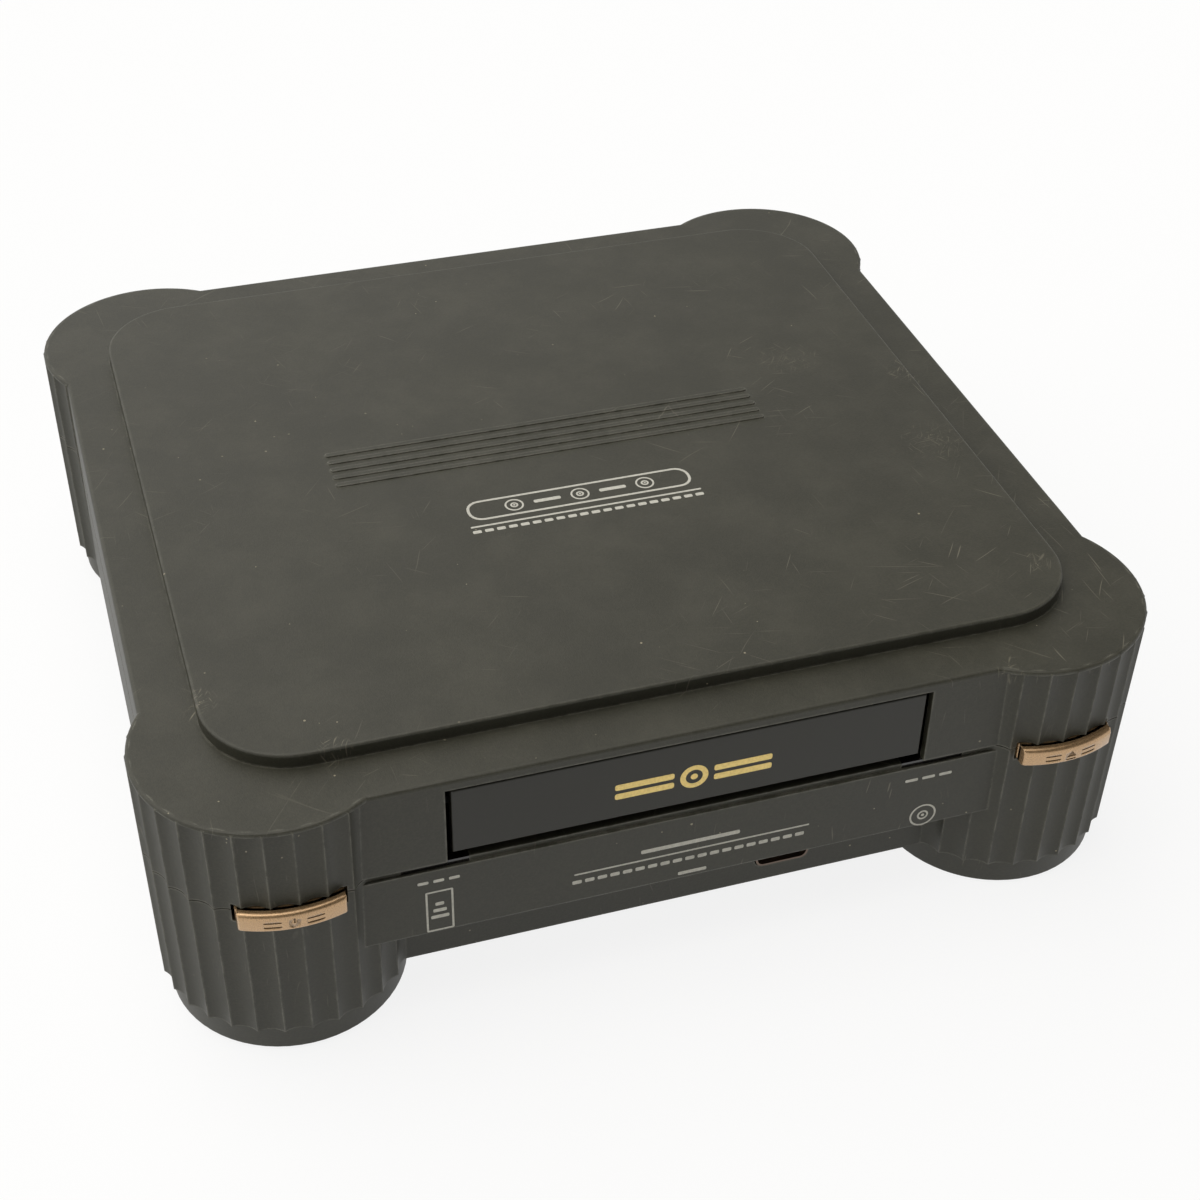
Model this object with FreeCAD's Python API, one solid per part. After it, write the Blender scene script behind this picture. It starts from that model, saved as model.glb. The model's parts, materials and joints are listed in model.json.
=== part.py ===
import FreeCAD, Part
import math
import os

# Disc console with a sliding tray, as an assembly of its separate pieces.
# Millimetres. X to the right seen from the front, the front faces -Y, Z up.
# The origin is on the floor under the middle of the console.
# Heights inside the drive are given with its lift frame level, as in play. The frame and all that
# it carries are then tilted down about the lift pins to the rest position, where the tray can pass.

V = FreeCAD.Vector
X_AXIS = V(1, 0, 0)
Y_AXIS = V(0, 1, 0)
Z_AXIS = V(0, 0, 1)
ORIGIN = V(0, 0, 0)

# Case
BODY_HALF_X = 150.0
BODY_HALF_Y = 142.7
WALL = 2.6
UNDERSIDE_Z = 10.0
FLOOR_Z = UNDERSIDE_Z + WALL
RIM_Z = 91.4
TOP_Z = 95.9
PLATEAU_HALF_X = 133.9
PLATEAU_HALF_Y = 125.4
PLATEAU_CORNER_R = 27.0
PLATEAU_EDGE_R = 0.8
TRIM_HALF_X = 74.0
TRIM_MIDDLE_Y = 6.0
TRIM_PITCH = 4.4
TRIM_COUNT = 5
TRIM_WIDTH = 2.2
TRIM_RISE = 0.4
TRIM_EDGE_R = 0.25
EDGE_R = 1.2

# Corner pillars
PILLAR_X = 116.8
PILLAR_Y = 110.2
FLUTES = 30
FLUTE_STEP = 2 * math.pi / FLUTES
FLUTE_DEPTH = 1.15
RIDGE_R_TOP = 39.2
RIDGE_R_LOW = 38.2
RIM_R = 37.5
RIM_EDGE_R = 1.9
RING_R_TOP = 36.6
RING_R_LOW = 35.8
RING_TOP_Z = 10.5
RING_LOW_Z = 0.5
BASE_EDGE_R = 0.8
PILLAR_BORE_R = 34.0
PILLAR_FLOOR_Z = 4.5
FOOT_OUTER_R = 24.0
FOOT_INNER_R = 8.0
FOOT_T = 2.2

# Seam between the case halves, with a recessed groove along the walls
SEAM_Z = 60.5
SEAM_GAP = 0.15
GROOVE_LOW_Z = 58.5
GROOVE_DEPTH = 1.0
LIP_ROOT_Z = 54.5
LIP_TOP_Z = 63.0
LIP_T = 1.4
LIP_GAP = 0.2
LENS_X = 77.0
LENS_HALF_X = 10.0

# Front: window for the tray, strip and set-back chin
WINDOW_HALF_X = 73.6
WINDOW_TOP_Z = 88.1
STRIP_LOW_Z = 33.0
STRIP_EDGE_R = 0.6
CHIN_SETBACK = 13.0
CHIN_Y = -BODY_HALF_Y + CHIN_SETBACK
CHIN_HALF_X = 100.0

# Controller socket in the chin
SOCKET_X = 36.2
SOCKET_HALF_LOW = 7.6
SOCKET_HALF_TOP = 10.0
SOCKET_LOW_Z = 17.0
SOCKET_TOP_Z = 26.8
SOCKET_CORNER_R = 2.0
SOCKET_SHELL_T = 0.6
SOCKET_GAP = 0.3
SOCKET_FACE_Y = CHIN_Y - 0.4
SOCKET_SEAT_Y = CHIN_Y + WALL
SOCKET_PIN_Y = CHIN_Y + 6.0
SOCKET_FLOOR_Y = CHIN_Y + 8.6
SOCKET_BACK_Y = CHIN_Y + 11.6
SOCKET_PIN_R = 0.5
SOCKET_PIN_PITCH = 2.77

# Buttons on the front pillars, with what they press
BUTTON_X = 119.0
BUTTON_HALF_X = 15.15
BUTTON_FACE_R = 41.4
BUTTON_LOW_Z = 56.4
BUTTON_TOP_Z = 62.4
BUTTON_Z = (BUTTON_LOW_Z + BUTTON_TOP_Z) / 2
BUTTON_GAP = 0.3
BUTTON_SIDE_GAP = 0.9
STEM_END_Y = -132.6
STEM_HALF_X = 3.0
SPRING_LENGTH = 7.8
SPRING_R = 2.6
SPRING_WIRE_R = 0.35
SPRING_TURNS = 3
SWITCH_HALF_X = 6.0
SWITCH_DEPTH = 6.2
SWITCH_NOSE = 5.2
EJECT_SWITCH_Y = STEM_END_Y + SPRING_LENGTH
ROD_LINE_X = -106.0
POWER_ROD_Z = 33.8
POWER_ROD_END_Y = -14.0
POWER_ROD_HALF = 1.5

# Screws and their wells
SCREW_HEAD_R = 3.4
SCREW_SHANK_R = 1.4
WELL_R = 6.2
WELL_BORE_R = 4.2
WELL_TOP_Z = 48.0
SCREW_SEAT_Z = 51.0

# Disc tray
DISC_Y = -72.0
TRAY_HALF_X = 65.5
TRAY_FRONT_Y = -139.2
TRAY_REAR_Y = 18.0
TRAY_LOW_Z = 74.6
TRAY_TOP_Z = 83.4
TRAY_WALL = 2.5
TRAY_FLOOR_LOW_Z = 76.4
DISC_WELL_R = 60.8
DISC_WELL_Z = 78.4
SMALL_WELL_R = 40.5
SMALL_WELL_Z = 77.6
SCOOP_R = 12.0
SCOOP_X = 46.0
SLOT_HALF_X = 18.0
SLOT_FRONT_Y = -92.0
SLOT_REAR_Y = -4.0
RAIL_HALF_X = 68.5
RAIL_LOW_Z = 76.0
RAIL_TOP_Z = 79.0
RAIL_GAP = 0.3
DOOR_T = 3.0
DOOR_HALF_X = 71.9
DOOR_LOW_Z = 63.4
DOOR_TOP_Z = 87.2

# Tray gearing: a rack under the tray, a double gear, a pulley gear, a belt and a motor
PRESSURE_ANGLE = math.radians(20.0)
BACKLASH = 0.16
RACK_MODULE = 1.0
RACK_PITCH_X = -57.0
RACK_LOW_Z = 70.0
PINION_TEETH = 14
PINION_X = RACK_PITCH_X + RACK_MODULE * PINION_TEETH / 2
PINION_TOP_Z = 74.2
TRAIN_Y = -118.0
TRAIN_MODULE = 0.8
WHEEL_TEETH = 36
PULLEY_TEETH = 12
PULLEY_X = PINION_X + TRAIN_MODULE * (WHEEL_TEETH + PULLEY_TEETH) / 2
WHEEL_LOW_Z = 60.0
WHEEL_TOP_Z = 63.5
MOTOR_X = 8.0
BELT_T = 1.4
BELT_Z = 66.2
BELT_CLEARANCE = 0.15
PULLEY_GROOVE_R = 11.3
MOTOR_GROOVE_R = 2.8
MOTOR_SHAFT_R = 1.0
AXLE_R = 1.5
RUNNING_FIT = 0.08

# Drive chassis
CHASSIS_HALF_X = 75.0
CHASSIS_WALL = 3.0
CHASSIS_FRONT_Y = -134.0
CHASSIS_REAR_Y = 34.0
DECK_LOW_Z = 54.0
DECK_TOP_Z = 56.0
DECK_OPENING_HALF_X = 54.0
DECK_OPENING_FRONT_Y = -100.4
CHASSIS_TOP_Z = 85.2
LEG_X = 66.0
LEG_FRONT_Y = -104.0
LEG_REAR_Y = 27.0
LEG_R = 4.0
LEG_HOLE_R = 1.3
BRIDGE_T = 1.2
BRIDGE_HALF_Y = 14.0
BRIDGE_HOLE_R = 11.0

# Lift frame and what it carries
LIFT_Y = 24.0
LIFT_Z = 60.0
LIFT_ANGLE = 5.0
LIFT_HALF_X = 51.0
LIFT_FRONT_Y = -94.0
LIFT_REAR_Y = 28.0
LIFT_TOP_Z = 66.0
LIFT_PIN_R = 2.0
CAM_PIN_X = 24.0
CAM_PIN_Y = -96.0
CAM_PIN_Z = 63.0
CAM_PIN_R = 1.6
CAM_SLOT_HALF = 1.95
CAM_TRAVEL = 16.0
CAM_PLATE_Y = -98.2
CAM_PLATE_T = 1.4
SLIDER_LEFT_X = -48.0
SLIDER_RIGHT_X = 34.0
SLIDER_POSTS = (-28.0, 26.0)
SLIDER_SLOT_Y = -105.0
SLIDER_SLOT_HALF = 1.8
PLATE_LOW_Z = 68.0
PLATE_TOP_Z = 69.2
PLATE_HALF_X = 46.0
DAMPER_X = 40.0
DAMPER_YS = (-84.0, -4.0)
DAMPER_R = 4.0
DAMPER_NECK_R = 2.4
TURNTABLE_Z = 80.3
TURNTABLE_R = 15.5
TURNTABLE_BOSS_Z = 82.0
SPINDLE_R = 1.0
ROD_X = 22.0
ROD_Z = 72.6
ROD_R = 1.5
SLED_Y = -48.0
SLED_HALF_Y = 10.0
SLED_HALF_X = 26.5
SLED_TOP_Z = 75.0
LENS_BARREL_R = 3.6
LENS_R = 2.8
LENS_RISE = 0.5
LENS_TOP_Z = 78.3
SLED_RACK_X = 33.0
SLED_RACK_LOW_Z = 72.0
SLED_PINION_MODULE = 0.6
SLED_PINION_TEETH = 12
SLED_WHEEL_MODULE = 0.5
SLED_WHEEL_TEETH = 36
SLED_MOTOR_TEETH = 10
SLED_GEAR_X = SLED_RACK_X + SLED_PINION_MODULE * SLED_PINION_TEETH / 2
SLED_GEAR_Y = -30.0
SLED_MOTOR_Y = SLED_GEAR_Y + SLED_WHEEL_MODULE * (SLED_WHEEL_TEETH + SLED_MOTOR_TEETH) / 2
SLED_AXLE_R = 1.0
SLED_SHAFT_R = 0.8

# Boards: left, right, front and rear edge
BOARD_Z = 22.0
BOARD_T = 1.6
BOARD_TOP_Z = BOARD_Z + BOARD_T
MAIN_BOARD = (-60.0, 104.0, -118.0, 128.0)
POWER_BOARD = (-140.0, -72.0, -10.0, 98.0)
MAIN_POSTS = [(-50, -108), (98, -60), (98, 70), (-55, 118), (94, 120)]
POWER_POSTS = [(-134, -2), (-78, -2), (-134, 92), (-78, 92)]
POST_R = 3.0
POST_HOLE_R = 1.1
SHIELD_TOP_Z = 42.0
SHEET_T = 0.8
SERVO_BOARD_Z = 44.0

# Rear panel and connectors
PANEL_HALF_X = 88.0
PANEL_LOW_Z = 18.0
PANEL_TOP_Z = 54.0
PANEL_Y = 140.6
PANEL_T = 1.6
JACK_XS = (16.0, 31.0, 46.0)
JACK_Z = 34.0
JACK_SLEEVE_R = 4.15
JACK_SLEEVE_LENGTH = 9.2
JACK_NECK_R = 3.9
JACK_BORE_R = 1.7
JACK_BLOCK_Y = 139.0
JACK_END_Y = 151.6
VIDEO_X = -4.0
MODULATOR_X = -32.0
AERIAL_X = MODULATOR_X - 8.0
CHANNEL_SLOT_X = MODULATOR_X + 8.0
CHANNEL_SLOT_HALF_X = 4.4
INLET_X = -74.0
INLET_Z = 34.0
INLET_LOBE_R = 4.4
INLET_PIN_X = 4.2
INLET_DEPTH = 11.0
INLET_PIN = 5.4
INLET_PIN_R = 1.2
COVER_X = 72.5
COVER_HALF_X = 13.5
COVER_LOW_Z = 21.0
COVER_TOP_Z = 45.0
COVER_GAP = 0.2


# Shape helpers

def block(x0, x1, y0, y1, z0, z1):
    return Part.makeBox(x1 - x0, y1 - y0, z1 - z0, V(x0, y0, z0))


def column(radius, z0, z1, x=0.0, y=0.0):
    return Part.makeCylinder(radius, z1 - z0, V(x, y, z0))


def rod_y(radius, y0, y1, x, z):
    return Part.makeCylinder(radius, y1 - y0, V(x, y0, z), Y_AXIS)


def rod_x(radius, x0, x1, y, z):
    return Part.makeCylinder(radius, x1 - x0, V(x0, y, z), X_AXIS)


def pipe(outer, inner, z0, z1, x=0.0, y=0.0):
    return column(outer, z0, z1, x, y).cut(column(inner, z0, z1, x, y))


def joined(shapes):
    shapes = list(shapes)
    return shapes[0].multiFuse(shapes[1:]).removeSplitter()


def minus(shape, cutters):
    return shape.cut(list(cutters))


def group(shapes):
    return Part.makeCompound(list(shapes))


def moved(shape, x=0.0, y=0.0, z=0.0):
    copy = shape.copy()
    copy.translate(V(x, y, z))
    return copy


def both_sides(shape):
    return [shape, shape.mirror(ORIGIN, X_AXIS)]


def turned(profile, x=0.0, y=0.0):
    """A solid turned about an upright axis from (radius, height) points."""
    points = [V(radius, 0, height) for radius, height in profile]
    face = Part.Face(Part.makePolygon(points + points[:1]))
    return moved(face.revolve(ORIGIN, Z_AXIS, 360), x, y)


def prism(points, z0, z1):
    """A straight prism on an outline of (x, y) points."""
    outline = [V(x, y, z0) for x, y in points]
    face = Part.Face(Part.makePolygon(outline + outline[:1]))
    return face.extrude(V(0, 0, z1 - z0))


def runs_along(edge, axis):
    return edge.Curve.TypeId == "Part::GeomLine" and abs(edge.Curve.Direction.dot(axis)) > 0.99


def rounded_block(x0, x1, y0, y1, z0, z1, radius):
    """A block with its four upright edges rounded."""
    solid = block(x0, x1, y0, y1, z0, z1)
    return solid.makeFillet(radius, [edge for edge in solid.Edges if runs_along(edge, Z_AXIS)])


def edges_at_height(shape, height):
    return [edge for edge in shape.Edges
            if abs(edge.BoundBox.ZMin - height) < 1e-4 and abs(edge.BoundBox.ZMax - height) < 1e-4]


def slot_bar(x0, z0, x1, z1, half_width, y0, y1):
    """A bar along Y whose section is a slot with round ends, from (x0, z0) to (x1, z1)."""
    length = math.hypot(x1 - x0, z1 - z0)
    bar = joined([block(0, length, y0, y1, -half_width, half_width),
                  rod_y(half_width, y0, y1, 0, 0), rod_y(half_width, y0, y1, length, 0)])
    bar.rotate(ORIGIN, Y_AXIS, -math.degrees(math.atan2(z1 - z0, x1 - x0)))
    return moved(bar, x0, 0, z0)


def tilted(shape):
    """A piece of the lift, turned down about the lift pins from level to rest."""
    copy = shape.copy()
    copy.rotate(V(0, LIFT_Y, LIFT_Z), X_AXIS, LIFT_ANGLE)
    return copy


def pillar_places():
    return [(side * PILLAR_X, end * PILLAR_Y) for side in (-1, 1) for end in (-1, 1)]


# Gears with straight-sided teeth whose corners lie on the involute

def tooth_half_angle(radius, teeth, module):
    pitch_r = teeth * module / 2
    base_r = pitch_r * math.cos(PRESSURE_ANGLE)
    pitch_half = math.pi / (2 * teeth) - BACKLASH / (2 * pitch_r)
    pitch_involute = math.tan(PRESSURE_ANGLE) - PRESSURE_ANGLE
    pressure = math.acos(min(1.0, base_r / radius))
    return pitch_half + pitch_involute - (math.tan(pressure) - pressure)


def gear(teeth, module, z0, z1, x, y, turn=0.0):
    """A spur gear. With no turn, one tooth points along +X."""
    pitch_r = teeth * module / 2
    tip_r = pitch_r + 0.9 * module
    root_r = pitch_r - 1.15 * module
    tip_half = tooth_half_angle(tip_r, teeth, module)
    root_half = tooth_half_angle(root_r, teeth, module)
    points = []
    for index in range(teeth):
        middle = 2 * math.pi * index / teeth + math.radians(turn)
        corners = ((root_r, -root_half), (tip_r, -tip_half), (tip_r, tip_half), (root_r, root_half))
        for radius, half in corners:
            points.append((x + radius * math.cos(middle + half), y + radius * math.sin(middle + half)))
    return prism(points, z0, z1)


def rack(module, pitch_x, back_x, y0, y1, gap_y, z0, z1):
    """A rack along Y whose teeth point to +X, with a gap centred on gap_y."""
    pitch = math.pi * module
    tip_x = pitch_x + 0.9 * module
    root_x = pitch_x - 1.15 * module
    slope = math.tan(PRESSURE_ANGLE)
    half = pitch / 4 - BACKLASH / 2
    tip_half = half - (tip_x - pitch_x) * slope
    root_half = half + (pitch_x - root_x) * slope
    first = math.ceil((y0 + root_half - gap_y) / pitch - 0.5)
    last = math.floor((y1 - root_half - gap_y) / pitch - 0.5)
    points = [(back_x, y0), (root_x, y0)]
    for index in range(first, last + 1):
        middle = gap_y + (index + 0.5) * pitch
        points += [(root_x, middle - root_half), (tip_x, middle - tip_half)]
        points += [(tip_x, middle + tip_half), (root_x, middle + root_half)]
    points += [(root_x, y1), (back_x, y1)]
    return prism(points, z0, z1)


# Outlines of the case

def ridge_radius(height):
    share = (height - RING_TOP_Z) / (RIM_Z - RING_TOP_Z)
    return RIDGE_R_LOW + share * (RIDGE_R_TOP - RIDGE_R_LOW)


def valley_radius(height):
    return ridge_radius(height) * math.cos(FLUTE_STEP / 2) - FLUTE_DEPTH


def fluted_outline(x, y, z):
    """One closed outline of concave arcs that meet in sharp ridges, one of them to the front."""
    def at(radius, angle):
        return V(x + radius * math.cos(angle), y + radius * math.sin(angle), z)

    ridge = ridge_radius(z)
    arcs = []
    for index in range(FLUTES):
        start = -math.pi / 2 + index * FLUTE_STEP
        middle = at(valley_radius(z), start + FLUTE_STEP / 2)
        arcs.append(Part.Arc(at(ridge, start), middle, at(ridge, start + FLUTE_STEP)).toShape())
    return Part.Wire(arcs)


def fluted_pillar(x, y, z0, z1):
    return Part.makeLoft([fluted_outline(x, y, z0), fluted_outline(x, y, z1)], True, True)


def pillar_cap(x, y):
    """The space under the smooth rounded rim of a pillar's top face."""
    outer = RIM_R + RIM_EDGE_R
    round_z = RIM_Z - RIM_EDGE_R
    middle = math.sqrt(0.5) * RIM_EDGE_R
    start = V(RIM_R, 0, RIM_Z)
    edges = [
        Part.makeLine(V(0, 0, RIM_Z), start),
        Part.Arc(start, V(RIM_R + middle, 0, round_z + middle), V(outer, 0, round_z)).toShape(),
        Part.makeLine(V(outer, 0, round_z), V(outer, 0, SEAM_Z)),
        Part.makeLine(V(outer, 0, SEAM_Z), V(0, 0, SEAM_Z)),
        Part.makeLine(V(0, 0, SEAM_Z), V(0, 0, RIM_Z)),
    ]
    cap = Part.Face(Part.Wire(edges)).revolve(ORIGIN, Z_AXIS, 360)
    return moved(cap, x, y)


def cross_outline(half_x, half_y, radius, z):
    """The four straight walls, each ending on pillar circles of the given radius."""
    kink_x = PILLAR_X - math.sqrt(radius ** 2 - (half_y - PILLAR_Y) ** 2)
    kink_y = PILLAR_Y - math.sqrt(radius ** 2 - (half_x - PILLAR_X) ** 2)
    corner = [(half_x, kink_y), (PILLAR_X, PILLAR_Y), (kink_x, half_y)]
    points = list(corner)
    points += [(-x, y) for x, y in reversed(corner)]
    points += [(-x, -y) for x, y in corner]
    points += [(x, -y) for x, y in reversed(corner)]
    outline = [V(x, y, z) for x, y in points]
    return Part.makePolygon(outline + outline[:1])


def walled_body(half_x, half_y, z0, z1):
    """The straight-walled body between the tapered pillars."""
    sections = [cross_outline(half_x, half_y, valley_radius(z), z) for z in (z0, z1)]
    return Part.makeLoft(sections, True, True)


def walled_space(z0, z1):
    """The space inside the straight walls."""
    face = Part.Face(cross_outline(BODY_HALF_X - WALL, BODY_HALF_Y - WALL, PILLAR_BORE_R, z0))
    return face.extrude(V(0, 0, z1 - z0))


def wall_edges_at(shape, height):
    """The level edges of the four straight outer walls at one height."""
    chosen = []
    for edge in edges_at_height(shape, height):
        middle = edge.CenterOfMass
        on_side = abs(abs(middle.x) - BODY_HALF_X) < 1e-3
        on_end = abs(abs(middle.y) - BODY_HALF_Y) < 1e-3
        if on_side or on_end:
            chosen.append(edge)
    return chosen


def button_slot(side):
    """The slot in the fluted wall that a button slides in."""
    x = side * BUTTON_X
    half = BUTTON_HALF_X + BUTTON_SIDE_GAP
    front = -PILLAR_Y - RIDGE_R_TOP - 1
    return block(x - half, x + half, front, -PILLAR_Y - 20,
                 BUTTON_LOW_Z - BUTTON_GAP, BUTTON_TOP_Z + BUTTON_GAP)


# Upper case half

def upper_bosses():
    """Screw bosses in the upper half's pillars, with pilot holes."""
    top = TOP_Z - WALL + 0.5
    return [pipe(WELL_BORE_R, SCREW_SHANK_R, SEAM_Z, top, x, y) for x, y in pillar_places()]


def roof_ribs():
    """Shallow ribs that stiffen the upper half under its raised top."""
    ceiling = TOP_Z - WALL
    ribs = [block(-124, 124, y - 0.8, y + 0.8, ceiling - 2.2, ceiling + 0.5) for y in (-20, 46, 100)]
    ribs += [block(x - 0.8, x + 0.8, 46, 118, ceiling - 2.2, ceiling + 0.5) for x in (-90, 0, 90)]
    return ribs


def raised_top():
    plateau = rounded_block(-PLATEAU_HALF_X, PLATEAU_HALF_X, -PLATEAU_HALF_Y, PLATEAU_HALF_Y,
                            RIM_Z - 1, TOP_Z, PLATEAU_CORNER_R)
    return plateau.makeFillet(PLATEAU_EDGE_R, edges_at_height(plateau, TOP_Z))


def trim_ribs():
    """The row of low raised ribs across the middle of the top."""
    half = TRIM_WIDTH / 2
    high = TOP_Z + TRIM_RISE
    ribs = []
    for index in range(TRIM_COUNT):
        y = TRIM_MIDDLE_Y + (index - (TRIM_COUNT - 1) / 2) * TRIM_PITCH
        rib = rounded_block(-TRIM_HALF_X, TRIM_HALF_X, y - half, y + half, TOP_Z - 1, high, half - 0.05)
        ribs.append(rib.makeFillet(TRIM_EDGE_R, edges_at_height(rib, high)))
    return ribs


def upper_hollows():
    """What is taken out of the upper half: the box, the raised top and the pillars."""
    low = SEAM_Z - 1
    inner_x = PLATEAU_HALF_X - WALL
    inner_y = PLATEAU_HALF_Y - WALL
    shapes = [walled_space(low, RIM_Z - WALL)]
    shapes.append(rounded_block(-inner_x, inner_x, -inner_y, inner_y, RIM_Z - 10, TOP_Z - WALL,
                                PLATEAU_CORNER_R - WALL))
    return shapes + [column(PILLAR_BORE_R, low, RIM_Z - WALL, x, y) for x, y in pillar_places()]


def top_case():
    low = SEAM_Z + SEAM_GAP
    walls = walled_body(BODY_HALF_X, BODY_HALF_Y, low, RIM_Z)
    walls = walls.makeFillet(EDGE_R, wall_edges_at(walls, RIM_Z))
    pillars = [fluted_pillar(x, y, low, RIM_Z).common(pillar_cap(x, y)) for x, y in pillar_places()]
    shell = joined([walls, raised_top()] + pillars)
    window = block(-WINDOW_HALF_X, WINDOW_HALF_X, -BODY_HALF_Y - 1, -BODY_HALF_Y + WALL + 1,
                   SEAM_Z - 1, WINDOW_TOP_Z)
    shell = minus(shell, upper_hollows() + [window, button_slot(-1), button_slot(1)])
    return joined([shell] + upper_bosses() + roof_ribs() + trim_ribs())


# Lower case half

def pillar_ring(x, y):
    """The plain ring under the flutes that a pillar stands on."""
    profile = [(0, RING_LOW_Z), (RING_R_LOW - BASE_EDGE_R, RING_LOW_Z),
               (RING_R_LOW, RING_LOW_Z + BASE_EDGE_R), (RING_R_TOP, RING_TOP_Z),
               (RING_R_TOP, RING_TOP_Z + 1), (0, RING_TOP_Z + 1)]
    return turned(profile, x, y)


def lower_walls():
    """The straight walls up to the groove, with the chin set back under the front strip."""
    walls = walled_body(BODY_HALF_X, BODY_HALF_Y, UNDERSIDE_Z, GROOVE_LOW_Z)
    walls = walls.makeFillet(BASE_EDGE_R, wall_edges_at(walls, UNDERSIDE_Z))
    chin_cut = block(-CHIN_HALF_X, CHIN_HALF_X, -BODY_HALF_Y - 1, CHIN_Y, UNDERSIDE_Z - 1, STRIP_LOW_Z)
    walls = minus(walls, [chin_cut])
    strip_edge = [edge for edge in edges_at_height(walls, STRIP_LOW_Z)
                  if abs(edge.CenterOfMass.y + BODY_HALF_Y) < 1e-3]
    return walls.makeFillet(STRIP_EDGE_R, strip_edge)


def lower_body():
    """The lower half as a full solid, before it is hollowed."""
    top = SEAM_Z - SEAM_GAP
    groove = walled_body(BODY_HALF_X - GROOVE_DEPTH, BODY_HALF_Y - GROOVE_DEPTH, GROOVE_LOW_Z - 1, top)
    pillars = [fluted_pillar(x, y, RING_TOP_Z, top) for x, y in pillar_places()]
    rings = [pillar_ring(x, y) for x, y in pillar_places()]
    return joined([lower_walls(), groove] + pillars + rings)


def lower_hollows():
    """What is taken out of the lower half: the box, without the chin, and the pillars."""
    top = SEAM_Z + 1
    behind_strip = block(-CHIN_HALF_X, CHIN_HALF_X, -BODY_HALF_Y, CHIN_Y + WALL, 0, STRIP_LOW_Z + WALL)
    shapes = [walled_space(FLOOR_Z, top).cut(behind_strip)]
    return shapes + [column(PILLAR_BORE_R, PILLAR_FLOOR_Z, top, x, y) for x, y in pillar_places()]


def screw_wells():
    """Deep screw wells in the four pillars, open below, with a seat for the screw's head."""
    shapes = []
    for x, y in pillar_places():
        shapes.append(pipe(WELL_R, WELL_BORE_R, RING_LOW_Z, WELL_TOP_Z, x, y))
        shapes.append(pipe(WELL_R, SCREW_SHANK_R + 0.4, WELL_TOP_Z, SCREW_SEAT_Z, x, y))
        shapes.append(pipe(WELL_BORE_R, SCREW_SHANK_R + 0.4, SCREW_SEAT_Z, SEAM_Z, x, y))
    return shapes


def leg_places():
    return [(side * LEG_X, y) for side in (-1, 1) for y in (LEG_FRONT_Y, LEG_REAR_Y)]


def floor_under(x, y):
    """The height of the inner floor at a place: it is lower inside the pillars."""
    nearest = min(math.hypot(x - pillar_x, y - pillar_y) for pillar_x, pillar_y in pillar_places())
    return PILLAR_FLOOR_Z if nearest < PILLAR_BORE_R else FLOOR_Z


def inner_posts():
    """Legs under the drive chassis and short posts under the boards."""
    legs = [pipe(LEG_R, LEG_HOLE_R, FLOOR_Z - 1, DECK_LOW_Z, x, y) for x, y in leg_places()]
    return legs + [pipe(POST_R, POST_HOLE_R, floor_under(x, y) - 1, BOARD_Z, x, y)
                   for x, y in MAIN_POSTS + POWER_POSTS]


def rod_guide():
    """The forked rib that the power rod runs in."""
    half_slot = POWER_ROD_HALF + 0.2
    rib = block(ROD_LINE_X - 4, ROD_LINE_X + 4, -62, -58, FLOOR_Z - 1, POWER_ROD_Z + 5)
    slot = block(ROD_LINE_X - half_slot, ROD_LINE_X + half_slot, -63, -57,
                 POWER_ROD_Z - half_slot, POWER_ROD_Z + 6)
    return rib.cut(slot)


def locating_lips():
    """The lip inside the upper walls, at the sides and the back, and the thick root behind the strip."""
    outer_x = BODY_HALF_X - WALL - LIP_GAP
    outer_y = BODY_HALF_Y - WALL - LIP_GAP
    root_top = SEAM_Z - SEAM_GAP
    side = block(outer_x - LIP_T, outer_x, -78, 78, LIP_ROOT_Z, LIP_TOP_Z)
    side_root = block(outer_x - LIP_T, outer_x + 1, -78, 78, LIP_ROOT_Z, root_top)
    rear = block(-80, 80, outer_y - LIP_T, outer_y, LIP_ROOT_Z, LIP_TOP_Z)
    rear_root = block(-80, 80, outer_y - LIP_T, outer_y + 1, LIP_ROOT_Z, root_top)
    front_root = block(-90, 90, -outer_y - 1, -outer_y + LIP_T, LIP_ROOT_Z, root_top)
    return both_sides(side) + both_sides(side_root) + [rear, rear_root, front_root]


def underside_vents():
    """Rows of narrow slots in the floor, under the main board and the power board."""
    half_width = 1.3
    slots = [(20 + 8 * index, y, 16) for y in (-52, 0, 52) for index in range(10)]
    slots += [(-126 + 8 * index, 44, 24) for index in range(6)]
    return [block(x - half_width, x + half_width, y - half, y + half, UNDERSIDE_Z - 1, FLOOR_Z + 0.5)
            for x, y, half in slots]


def keystone(grow, y0, y1):
    """A bar along Y in the keystone shape of the controller plug, narrow side down."""
    corners = [(-SOCKET_HALF_LOW - grow, SOCKET_LOW_Z - grow), (SOCKET_HALF_LOW + grow, SOCKET_LOW_Z - grow),
               (SOCKET_HALF_TOP + grow, SOCKET_TOP_Z + grow), (-SOCKET_HALF_TOP - grow, SOCKET_TOP_Z + grow)]
    outline = [V(SOCKET_X + x, y0, z) for x, z in corners]
    solid = Part.Face(Part.makePolygon(outline + outline[:1])).extrude(V(0, y1 - y0, 0))
    corner_edges = [edge for edge in solid.Edges if runs_along(edge, Y_AXIS)]
    return solid.makeFillet(SOCKET_CORNER_R + grow, corner_edges)


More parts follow.
